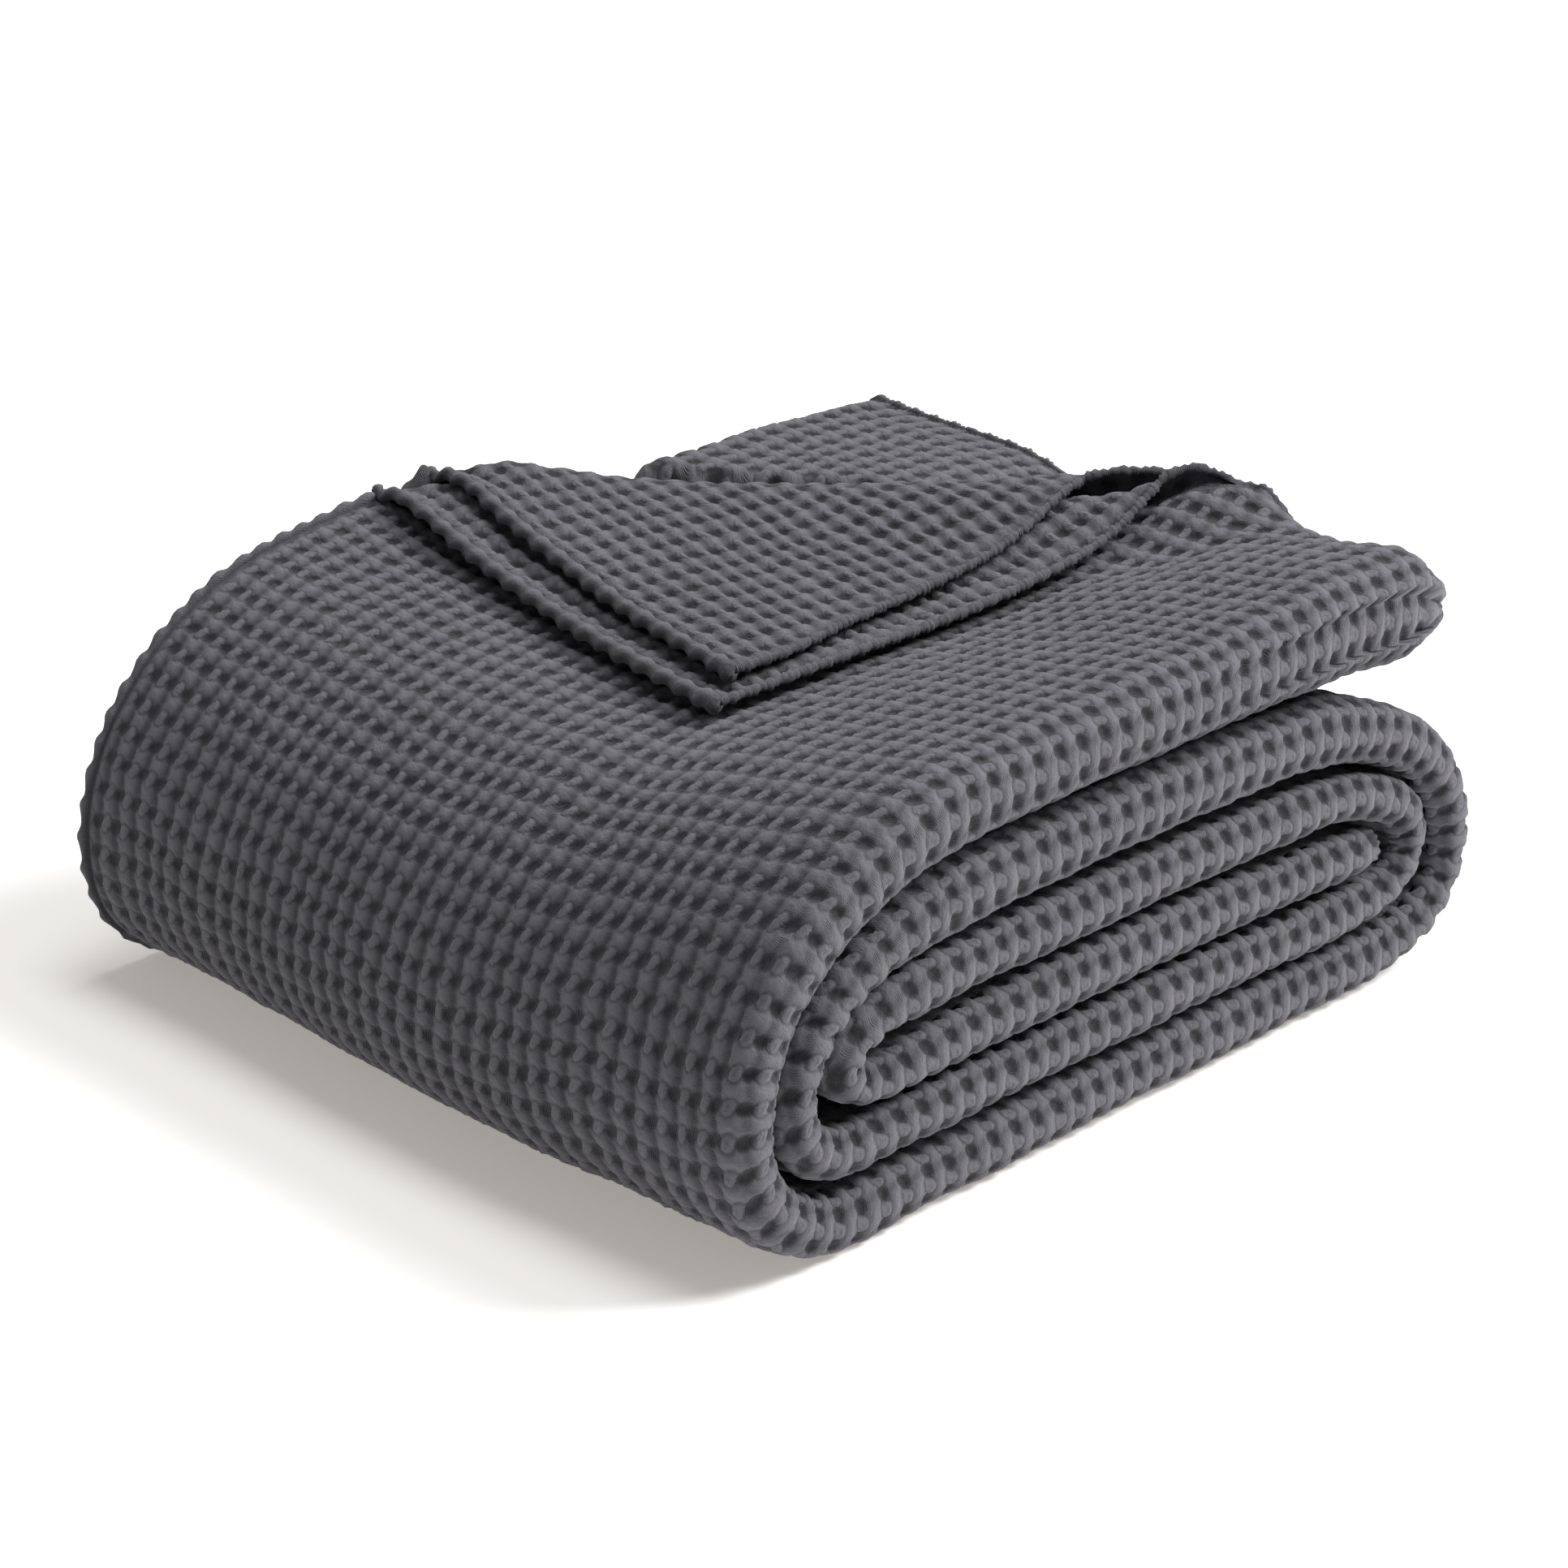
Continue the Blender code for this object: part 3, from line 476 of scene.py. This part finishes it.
def make_cloth(first, last):
    """The cloth with its relief, for the rows first to last: points, cell coordinates, height, base points, side, sign."""
    a, b = max(0, first - 1), min(len(ROWS), last + 2)
    rows = ROWS[a:b]
    seg = COL_SEG[:, None] + np.zeros(len(rows), int)[None, :]
    s = COL_S[:, None] + np.zeros(len(rows))[None, :]
    v = rows[None, :] + np.zeros(len(COLS))[:, None]
    base = cloth_point(seg, s, v)
    # the end of the top pass closes to a soft lip on the fold-edge side
    off = across(seg, s, v)[1]
    lip = np.clip(1.0 - v / 0.018, 0.0, 1.0) ** 2 * smooth((base[..., 0] - 0.098) / 0.030) * np.isin(seg, (0, 1, 2))
    base[..., 2] -= 0.0064 * off * lip
    base[..., 1] += (0.0015 + 0.0085 * (1.0 - np.abs(off))) * lip
    base[..., 0] += 0.0060 * (1.0 - np.abs(off)) * lip
    # the woven edge droops a little where it goes over the crest
    x_plain, y_plain = plain_place(seg, s, v)[:2]
    for span, flap in ((0, FLAPS["upper_outer"]), (6, FLAPS["upper_inner"])):
        flat, share = beyond_crest(x_plain, y_plain, flap)
        over = pi * bend_at(share, flap)
        tip = np.exp(-((s + X_END) / 0.012) ** 2) * smooth((flat + 0.004) / 0.010) * (1.0 - smooth((flat - over) / 0.012))
        base[..., 2] -= 0.0048 * tip * ((seg == span) & (v < TOP_END))
    pu, pv, sign = lattice(seg, s, v)
    side = -unit(np.cross(np.gradient(base, axis=0), np.gradient(base, axis=1)))
    width, x = cloth_width(seg, s, v)
    loose = np.where(seg == 0, 0.85 * smooth((v - 0.22) / 0.12) * (1.0 - smooth((v - 0.74) / 0.1)), 0.0)
    for span, flap in ((0, FLAPS["upper_outer"]), (6, FLAPS["upper_inner"])):
        flat = beyond_crest(x_plain, y_plain, flap)[0]
        loose = np.where((seg == span) & (v < TOP_END), np.maximum(loose, 0.9 * smooth(flat / 0.01)), loose)
    h = weave_height(pu, pv, loose)
    for span, flap in ((0, FLAPS["upper_outer"]), (6, FLAPS["upper_inner"])):
        flat, share = beyond_crest(x_plain, y_plain, flap)
        over = pi * bend_at(share, flap)
        calm = smooth(flat / 0.006) * (1.0 - smooth((flat - over) / 0.010))
        h = np.where((seg == span) & (v < TOP_END), 0.55 + (h - 0.55) * (1.0 - 0.40 * calm), h)
    h = np.where(np.isin(seg, (3, 4)) & (v < TOP_END), 0.5 + (h - 0.5) * (1.0 - 0.5 * smooth((0.30 - v) / 0.06) * (seg == 3)), h)
    gap = np.minimum(np.abs(np.where(seg == 0, s + X_END, 1.0)), np.abs(np.where(seg == 6, s + X_END, 1.0)))
    near = smooth((gap - 0.0005) / 0.0045)
    h = h * near + 0.36 * (1.0 - near)
    end = smooth((np.minimum(v, PATH["total"] - v) - 0.0005) / 0.0060)
    strands = 0.5 + 0.5 * np.sin(2 * pi * (pu * 3.4 + pv * 1.2))
    h = h * (0.30 + 0.70 * end) + (1.0 - end) * (0.22 + 0.30 * strands)
    uneven = 0.0008 * drift(x, v, 0.11, 3) + 0.0005 * drift(x, v, 0.045, 4)
    outward = PUFF * smooth((side[..., 2:3] + 0.85) / 0.5)[..., 0]
    lift = sign * (RELIEF * (h - 0.5) + outward) + 0.6 * uneven
    p = base + side * lift[..., None]
    p[..., 2] = np.maximum(p[..., 2], 0.0004)
    cut = slice(first - a, first - a + last - first + 1)
    return [q[:, cut] for q in (p, pu, pv, h, base, side, sign, near * end, loose)]


def rolled(block, at, starts=0.0):
    """Add the rolled woven edge before the first ('first') or after the last ('last') column."""
    if at == "last":
        block = [q[::-1] for q in block]
    p, pu, pv, h, base, side, sign, bare, loose = block
    steps = 10
    out = unit(base[0] - base[4])
    n = side[0] * sign[0][:, None]
    slim = 1.0 - 0.55 * (1.0 - np.abs(side[0][:, 2])) ** 2 * (base[0][:, 2] > 0.14)
    from_end = np.concatenate([[0.0], np.cumsum(np.linalg.norm(np.diff(base[0], axis=0), axis=-1))])
    corner = 1.0 + (0.32 * (1.0 - smooth((from_end - 0.16) / 0.12)) + 0.35 * np.exp(-(from_end / 0.0065) ** 2)) * starts
    core = []
    cols, edge_shade = [], []
    for k in range(steps, 0, -1):
        t = radians(125.0 - 285.0 * (k - 1) / (steps - 1))
        twist = pv[0] + 0.22 * np.sin(t)
        knob = 0.5 + 0.5 * np.cos(2 * pi * twist)
        small = 0.5 + 0.5 * np.cos(4 * pi * twist + 0.9)
        r = ROLL * (0.80 + 0.40 * knob + 0.12 * small + 0.10 * drift(pv[0], 0 * pv[0], 3.0, 2)) * slim * corner
        centre = base[0] + out * (ROLL * 0.55 * corner + 0.0007 * (knob - 0.5))[:, None] + n * 0.0003
        core.append(centre)
        cols.append(centre + out * (r * np.cos(t))[:, None] + n * (r * np.sin(t))[:, None])
        # painted shade on the roll: lighter on its twisted bundles, darker between them and on its underside
        edge_shade.append((0.52 + 0.34 * knob) * (0.75 + 0.25 * np.sin(t)))
    grow = np.arange(-steps, 0)[:, None] * 0.11
    lead = lambda q: np.repeat(q[0:1], steps, 0)
    block = [np.concatenate([np.array(cols), p]), np.concatenate([pu[0:1] + grow, pu]), np.concatenate([lead(pv), pv]),
             np.concatenate([np.array(edge_shade), h]), np.concatenate([np.array(core), base]), np.concatenate([lead(side), side]),
             np.concatenate([lead(sign), sign]), np.concatenate([0.0 * lead(bare), bare]), np.concatenate([lead(loose), loose])]
    block[0][..., 2] = np.maximum(block[0][..., 2], 0.0004)
    if at == "last":
        block = [q[::-1] for q in block]
    return block


def hemmed(block, capped=None):
    """Add the turned end hem before the first row; capped = the columns of a rolled edge, whose end is closed to a knot."""
    p, pu, pv, h, base, side, sign, bare, loose = block
    steps = 9
    tube = np.arange(len(p))[capped] if capped is not None else np.array([], int)
    out = unit(base[:, 0] - base[:, 3])
    n = side[:, 0] * sign[:, 0][:, None]
    cols, edge_shade = [], []
    for k in range(steps, 0, -1):
        t = radians(120.0 - 270.0 * (k - 1) / (steps - 1))
        strand = 0.5 + 0.5 * np.sin(2 * pi * pu[:, 0] * 3.4 + 0.9 * np.sin(t) + 0.8 * drift(pu[:, 0], 0 * pu[:, 0], 2.0, 3))
        r = HEM * (0.72 + 0.42 * strand + 0.18 * np.cos(2 * pi * pu[:, 0]))
        centre = base[:, 0] + out * (HEM * 0.5 + 0.0005 * strand)[:, None] + n * 0.0002
        ring = centre + out * (r * np.cos(t))[:, None] + n * (r * np.sin(t))[:, None]
        # painted shade on the hem: lighter on its strands, darker between them and on its underside
        hem_shade = (0.48 + 0.34 * strand) * (0.75 + 0.25 * np.sin(t))
        turn_in = radians(90.0) * k / steps
        spoke = p[tube, 0] - base[tube, 0]
        long = np.linalg.norm(spoke, axis=-1, keepdims=True)
        ring[tube] = base[tube, 0] + spoke * np.cos(turn_in) + out[tube] * long * np.sin(turn_in)
        hem_shade[tube] = h[tube, 0]
        cols.append(ring)
        edge_shade.append(hem_shade)
    grow = np.arange(-steps, 0)[None, :] * 0.07
    lead = lambda q: np.repeat(q[:, 0:1], steps, 1)
    block = [np.concatenate([np.stack(cols, 1), p], 1), np.concatenate([lead(pu), pu], 1),
             np.concatenate([pv[:, 0:1] + grow, pv], 1), np.concatenate([np.stack(edge_shade, 1), h], 1),
             np.concatenate([lead(base), base], 1), np.concatenate([lead(side), side], 1), np.concatenate([lead(sign), sign], 1),
             np.concatenate([0.0 * lead(bare), bare], 1), np.concatenate([lead(loose), loose], 1)]
    block[0][..., 2] = np.maximum(block[0][..., 2], 0.0004)
    return block


# ------------------------------------------------------------------ cotton
def make_cotton():
    mat = bpy.data.materials.new("charcoal waffle cotton")
    mat.use_nodes = True
    nt = mat.node_tree
    nodes, links = nt.nodes, nt.links
    shader = nodes["Principled BSDF"]

    def node(kind, **inputs):
        n = nodes.new(kind)
        for key, value in inputs.items():
            n.inputs[int(key[1:]) if key[0] == "_" and key[1:].isdigit() else key].default_value = value
        return n

    def math(op, a, b=None, c=None):
        n = nodes.new("ShaderNodeMath")
        n.operation = op
        for i, q in enumerate((a, b, c)):
            if q is None:
                continue
            if isinstance(q, (int, float)):
                n.inputs[i].default_value = q
            else:
                links.new(q, n.inputs[i])
        return n.outputs[0]

    def ramp(q, stops):
        n = nodes.new("ShaderNodeValToRGB")
        n.color_ramp.elements[0].position, n.color_ramp.elements[0].color = stops[0][0], stops[0][1]
        n.color_ramp.elements[1].position, n.color_ramp.elements[1].color = stops[-1][0], stops[-1][1]
        for pos, col in stops[1:-1]:
            n.color_ramp.elements.new(pos).color = col
        links.new(q, n.inputs[0])
        return n.outputs[0]

    uv = nodes.new("ShaderNodeUVMap")
    uv.uv_map = "weave"
    parts = nodes.new("ShaderNodeSeparateXYZ")
    links.new(uv.outputs[0], parts.inputs[0])
    u, v = parts.outputs[0], parts.outputs[1]
    def stored(label):
        n = nodes.new("ShaderNodeAttribute")
        n.attribute_name = label
        return n.outputs["Fac"]

    # fine noise in the weave's own coordinates, and slow noise on the object
    def noise(scale, detail=2.0, stretch=(1, 1, 1), rough=0.5):
        mapping = nodes.new("ShaderNodeMapping")
        mapping.inputs["Scale"].default_value = stretch
        links.new(uv.outputs[0], mapping.inputs[0])
        n = nodes.new("ShaderNodeTexNoise")
        n.inputs["Scale"].default_value = scale
        n.inputs["Detail"].default_value = detail
        n.inputs["Roughness"].default_value = rough
        links.new(mapping.outputs[0], n.inputs["Vector"])
        return n.outputs[0]

    place = nodes.new("ShaderNodeTexCoord")
    slow = nodes.new("ShaderNodeTexNoise")
    slow.inputs["Scale"].default_value = 9.0
    slow.inputs["Detail"].default_value = 2.0
    links.new(place.outputs["Object"], slow.inputs["Vector"])

    def smooth_from(q, low, wide):
        n = nodes.new("ShaderNodeMapRange")
        n.interpolation_type = "SMOOTHSTEP"
        n.inputs["From Min"].default_value, n.inputs["From Max"].default_value = low, low + wide
        links.new(q, n.inputs["Value"])
        return n.outputs[0]

    def bell(a, wide_a, b, wide_b):
        q = math("ADD", math("POWER", math("ABSOLUTE", math("DIVIDE", a, wide_a)), 2.0),
                 math("POWER", math("ABSOLUTE", math("DIVIDE", b, wide_b)), 2.0))
        return math("POWER", 2.718, math("MULTIPLY", q, -1.0))

    wob = noise(2.6, 2.0)
    fibre = noise(24.0, 3.0, (1.0, 1.0, 1.0), 0.65)
    tau = 2 * pi
    fu = math("SUBTRACT", u, math("ROUND", u))
    fv = math("SUBTRACT", v, math("ROUND", v))
    au, av = math("ABSOLUTE", fu), math("ABSOLUTE", fv)
    du = math("SUBTRACT", 0.5, au)
    dv = math("SUBTRACT", 0.5, av)
    cu = math("MULTIPLY_ADD", math("COSINE", math("MULTIPLY", u, tau)), 0.5, 0.5)
    cv = math("MULTIPLY_ADD", math("COSINE", math("MULTIPLY", v, tau)), -0.5, 0.5)
    # the pits between the knots, the crossing threads between the smooth places, and the knots
    round_pit = math("POWER", math("ADD", math("POWER", math("DIVIDE", du, 0.34), 2.4), math("POWER", math("DIVIDE", av, 0.31), 2.4)), 0.4167)
    pit = math("SUBTRACT", 1.0, smooth_from(round_pit, 0.50, 0.50))
    cross = bell(du, 0.19, dv, 0.20)
    ring = math("SQRT", math("ADD", math("POWER", math("DIVIDE", au, 0.20), 2.0), math("POWER", math("DIVIDE", av, 0.23), 2.0)))
    groove = math("POWER", 2.718, math("MULTIPLY", math("POWER", math("ABSOLUTE", math("DIVIDE", math("SUBTRACT", ring, 1.25), 0.24)), 2.0), -1.0))
    dome = math("SQRT", math("MAXIMUM", math("SUBTRACT", 1.0, math("POWER", math("DIVIDE", ring, 1.05), 2.0)), 0.0))
    slit = bell(fu, 0.045, fv, 0.12)
    # threads: lengthwise in the pits, crosswise and curved between the smooth places
    grit = noise(6.5, 2.0, (1.0, 1.0, 1.0), 0.6)
    thread_l = math("SINE", math("MULTIPLY", math("ADD", u, math("MULTIPLY", wob, 0.07)), tau * 17.0))
    bent = math("ADD", v, math("ADD", math("MULTIPLY", wob, 0.07), math("MULTIPLY", math("POWER", du, 2.0), 1.1)))
    thread_c = math("SINE", math("MULTIPLY", bent, tau * 17.0))
    lines = math("ADD", math("MULTIPLY", thread_l, pit), math("MULTIPLY", thread_c, cross))

    loose = stored("loose")
    tight = math("ADD", 0.60, math("MULTIPLY", math("MULTIPLY", math("POWER", cv, 0.8), math("MULTIPLY_ADD", math("POWER", cu, 0.6), 0.60, 0.40)), 0.34))
    tight = math("ADD", tight, math("MULTIPLY", cu, 0.06))
    ridges = math("ADD", math("MULTIPLY_ADD", math("POWER", cu, 0.8), 0.46, 0.40), math("MULTIPLY", cv, 0.10))
    h = math("ADD", math("MULTIPLY", tight, math("SUBTRACT", 1.0, loose)), math("MULTIPLY", ridges, loose))
    h = math("SUBTRACT", h, math("MULTIPLY", pit, math("MULTIPLY_ADD", loose, -0.18, 0.66)))
    h = math("SUBTRACT", h, math("MULTIPLY", cross, math("MULTIPLY_ADD", loose, 0.08, 0.12)))
    h = math("ADD", h, math("MULTIPLY", dome, 0.19))
    h = math("SUBTRACT", h, math("MULTIPLY", groove, 0.24))
    # where the drawn weave gives way, the stored relief height 'rise' sets the painted shade and light instead
    share = stored("weave_share")
    rise = stored("rise")
    high = math("ADD", math("MULTIPLY", h, share), math("MULTIPLY", rise, math("SUBTRACT", 1.0, share)))

    # the colour follows the relief height: painted shade in the pits, grooves and low places, painted light on the
    # knots and the web; the fibre, grit, thread and slow noises added on top are the cloth's own uneven tone
    painted_shade_and_tone = math("ADD", high, math("MULTIPLY", math("SUBTRACT", fibre, 0.5), 0.34))
    painted_shade_and_tone = math("ADD", painted_shade_and_tone, math("MULTIPLY", math("SUBTRACT", grit, 0.5), 0.28))
    painted_shade_and_tone = math("ADD", painted_shade_and_tone, math("MULTIPLY", lines, 0.09))
    # the narrow slit down the middle of each knot is painted darker, as shade
    painted_shade_and_tone = math("SUBTRACT", painted_shade_and_tone, math("MULTIPLY", slit, 0.20))
    painted_shade_and_tone = math("ADD", painted_shade_and_tone, math("MULTIPLY", math("SUBTRACT", slow.outputs[0], 0.5), 0.12))
    colour = ramp(painted_shade_and_tone, [(0.0, (*DARK, 1)), (0.45, (*MIDDLE, 1)), (0.80, (*HIGH, 1)), (1.0, (*LIGHT, 1))])
    links.new(colour, shader.inputs["Base Color"])

    height = math("ADD", math("MULTIPLY", lines, 0.26), math("MULTIPLY", fibre, 0.65))
    height = math("ADD", height, math("MULTIPLY", grit, 1.1))
    height = math("SUBTRACT", height, math("MULTIPLY", slit, 0.35))
    height = math("ADD", height, math("MULTIPLY", high, 1.1))
    bump = nodes.new("ShaderNodeBump")
    bump.inputs["Strength"].default_value = 0.9
    bump.inputs["Distance"].default_value = 0.0007
    links.new(height, bump.inputs["Height"])
    links.new(bump.outputs[0], shader.inputs["Normal"])
    shader.inputs["Roughness"].default_value = 0.93
    shader.inputs["Specular IOR Level"].default_value = 0.18
    shader.inputs["Sheen Weight"].default_value = 0.22
    shader.inputs["Sheen Roughness"].default_value = 0.45
    shader.inputs["Sheen Tint"].default_value = (0.80, 0.80, 0.84, 1.0)
    return mat


# DARK is painted shade for the pits, LIGHT painted light for the highest web; the cloth's own charcoal lies between
# them
DARK, MIDDLE, HIGH, LIGHT = (0.0385, 0.0375, 0.0425), (0.064, 0.0625, 0.0705), (0.111, 0.1085, 0.1215), (0.139, 0.136, 0.152)
COTTON = make_cotton()
PIECES = []


def add_piece(name, block, cols=None, rows=None):
    """One piece of cloth from a block of the grid, thinned to the columns and rows given."""
    if cols is not None:
        block = [q[cols] for q in block]
    if rows is not None:
        block = [q[:, rows] for q in block]
    p, pu, pv, h, base = block[:5]
    nu, nv = p.shape[:2]
    mesh = bpy.data.meshes.new(name)
    idx = np.arange(nu * nv).reshape(nu, nv)
    quads = np.stack([idx[:-1, :-1], idx[:-1, 1:], idx[1:, 1:], idx[1:, :-1]], -1).reshape(-1, 4)
    mesh.vertices.add(nu * nv)
    mesh.vertices.foreach_set("co", p.reshape(-1).astype(np.float32))
    mesh.loops.add(quads.size)
    mesh.loops.foreach_set("vertex_index", quads.reshape(-1).astype(np.int32))
    mesh.polygons.add(len(quads))
    mesh.polygons.foreach_set("loop_start", (np.arange(len(quads)) * 4).astype(np.int32))
    mesh.update(calc_edges=True)
    uv = mesh.uv_layers.new(name="weave")
    flat = np.stack([pu, pv], -1).reshape(-1, 2)[quads.reshape(-1)]
    uv.data.foreach_set("uv", flat.reshape(-1).astype(np.float32))
    # the relief height goes to the material as 'rise', which paints shade and light from it on the rolled edges, hems
    # and woven edges
    for label, values in (("rise", h), ("weave_share", block[7]), ("loose", block[8])):
        att = mesh.attributes.new(label, "FLOAT", "POINT")
        att.data.foreach_set("value", np.ascontiguousarray(values).reshape(-1).astype(np.float32))
    mesh.shade_smooth()
    mesh.materials.append(COTTON)
    ob = bpy.data.objects.new(name, mesh)
    bpy.context.scene.collection.objects.link(ob)
    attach(ob, "root")
    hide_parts("blanket")
    wide = np.linalg.norm(np.diff(base, axis=0), axis=-1).sum(0).mean()
    long = np.linalg.norm(np.diff(base, axis=1), axis=-1).sum(1).mean()
    PIECES.append((name, 2 * len(quads), wide, long))
    return ob


def columns_of(*spans):
    return np.flatnonzero(np.isin(COL_SEG, spans))


def with_next(cols):
    """The columns and the next one, so that neighbouring pieces share an edge."""
    return np.append(cols, cols[-1] + 1) if cols[-1] + 1 < len(COLS) else cols


def thin(count, keep_first, keep_last, step):
    """Every column near both ends of a span, few in between."""
    a = np.arange(min(keep_first, count))
    c = np.arange(max(count - keep_last, 0), count)
    b = np.arange(keep_first + step, count - keep_last - 1, step) if step else np.array([], int)
    return np.unique(np.concatenate([[0], a, b, c, [count - 1]])).astype(int)


def row_at(v):
    return int(np.argmin(np.abs(ROWS - v)))


R_TOP, R_WRAP, R_BOTTOM, R_BACK, R_LAST = row_at(0.300), row_at(0.470), row_at(0.740), row_at(1.045), len(ROWS) - 1
mm = 0.001 / FINE

# rows 0 .. R_TOP: the top pass
block = make_cloth(0, R_TOP)
take = lambda b, cols: [q[cols] for q in b]
upper = columns_of(0)
add_piece("top_sheet", hemmed(rolled(take(block, upper), "first", 1.0), slice(0, 10)))
fold = np.concatenate([[upper[-1]], columns_of(1), [columns_of(2)[0]]])
fold_top = hemmed(take(block, fold))
lower = columns_of(2)
with_hem = np.unique(np.concatenate([np.arange(0, 14), np.arange(14, R_TOP + 10, 2), [R_TOP + 9]]))
add_piece("under_sheet", hemmed(take(block, lower[:-3][thin(len(lower) - 3, int(14 * mm), int(14 * mm), int(6 * mm))])), None, with_hem)
tube = np.concatenate([lower[-4:], columns_of(3), columns_of(4)[:4]])
add_piece("loose_side_fold_top", hemmed(take(block, tube)))
inner = columns_of(4)
add_piece("inner_sheet", hemmed(take(block, inner[3:-3][thin(len(inner) - 6, int(150 * mm), 3, int(6 * mm))])))
turn = np.concatenate([inner[-4:], columns_of(5), columns_of(6)[:4]])
add_piece("inner_fold_top", hemmed(take(block, turn)))
upper_in = columns_of(6)[3:]
add_piece("turned_sheet", hemmed(rolled(take(block, upper_in), "last", 1.0), slice(-10, None)))
add_piece("fold_edge_top", fold_top)

# the wrap in front, the underside, the wrap behind, and the inner passes
for name, first, last, every in (("front", R_TOP, R_WRAP, 1), ("underside", R_WRAP, R_BOTTOM, 2), ("back", R_BOTTOM, R_BACK, 1),
                                 ("inside", R_BACK, R_LAST, 2)):
    block = make_cloth(first, last)
    count = last - first + 1
    rows = np.unique(np.append(np.arange(0, count, every), count - 1))
    rolled_edge = rolled(take(block, upper), "first")
    if name == "inside":
        cols = thin(len(upper) + 10, int(14 * mm) + 10, 3, int(10 * mm))
    elif name == "underside":
        cols = np.unique(np.append(np.arange(0, len(upper) + 10, 2), len(upper) + 9))
    else:
        cols = None
    add_piece(name + "_sheet", rolled_edge, cols, rows)
    every_row = np.arange(count)
    sparse = np.unique(np.append(np.arange(0, count, 4), count - 1))
    add_piece(name + "_fold_edge", take(block, fold), None, every_row)
    add_piece(name + "_second_ply", take(block, lower[:-3][thin(len(lower) - 3, 3, 3, int(14 * mm))]), None, sparse)
    add_piece(name + "_loose_side_fold", take(block, tube[::2]), None, rows)
    add_piece(name + "_third_ply", take(block, inner[3:-3][thin(len(inner) - 6, 3, 3, int(14 * mm))]), None, sparse)
    add_piece(name + "_inner_fold", take(block, turn[::4]), None, sparse)
    add_piece(name + "_fourth_ply", rolled(take(block, upper_in), "last"),
              thin(len(upper_in) + 10, 3, int(12 * mm) + 10, int(14 * mm)), rows)

print("triangles", sum(p[1] for p in PIECES))
for name, tris, wide, long in PIECES:
    print("  %-24s %7d  %.3f x %.3f" % (name, tris, wide, long))

# ------------------------------------------------------------------ floor, light, camera
def floor_colour_and_glow(name, colour, rough=1.0, glow=0.31):
    mat = bpy.data.materials.new(name)
    mat.use_nodes = True
    shader = mat.node_tree.nodes["Principled BSDF"]
    shader.inputs["Base Color"].default_value = (*colour, 1.0)
    shader.inputs["Roughness"].default_value = rough
    shader.inputs["Specular IOR Level"].default_value = 0.0
    # the floor glows a little with warm painted light, which lifts and warms its shadow and the light it throws back
    # onto the cloth
    shader.inputs["Emission Color"].default_value = (1.0, 0.945, 0.88, 1.0)
    shader.inputs["Emission Strength"].default_value = glow
    return mat


bpy.ops.mesh.primitive_plane_add(size=30.0, location=(0, 0, 0))
floor = bpy.context.object
floor.name = "floor"
floor.data.materials.append(floor_colour_and_glow("pale glowing floor", (0.93, 0.93, 0.925)))

world = bpy.data.worlds.new("soft room")
bpy.context.scene.world = world
world.use_nodes = True
world.node_tree.nodes["Background"].inputs["Color"].default_value = (1.0, 1.0, 1.0, 1.0)
world.node_tree.nodes["Background"].inputs["Strength"].default_value = 0.17


def softbox(name, place, aim, size, power, colour=(1, 1, 1)):
    light = bpy.data.lights.new(name, "AREA")
    light.shape = "RECTANGLE"
    light.size, light.size_y = size
    light.energy = power
    light.color = colour
    ob = bpy.data.objects.new(name, light)
    bpy.context.scene.collection.objects.link(ob)
    ob.location = place
    ob.rotation_mode = "QUATERNION"
    ob.rotation_quaternion = (Vector(aim) - Vector(place)).to_track_quat("-Z", "Y")
    return ob


softbox("key light", (1.5, 1.7, 2.2), (0, 0, 0.1), (1.3, 1.3), 130.0)
softbox("top light", (0.1, 0.2, 3.0), (0, 0, 0.0), (1.3, 1.3), 42.0)

azimuth, elevation, distance = radians(43.6), radians(22.8), 2.0427
back = Vector((sin(azimuth) * cos(elevation), -cos(azimuth) * cos(elevation), sin(elevation)))
right = Vector((cos(azimuth), sin(azimuth), 0.0))
up = back.cross(right)
lens = bpy.data.cameras.new("camera")
lens.sensor_width = 36.0
lens.lens = 109.0
lens.clip_start, lens.clip_end = 0.05, 60.0
camera = bpy.data.objects.new("camera", lens)
bpy.context.scene.collection.objects.link(camera)
turned = Matrix((right, up, back)).transposed().to_4x4()
turned.translation = Vector((-0.1250, 0.1395, 0.0)) + back * distance
camera.matrix_world = turned
bpy.context.scene.camera = camera
bpy.context.scene.view_settings.view_transform = "Standard"
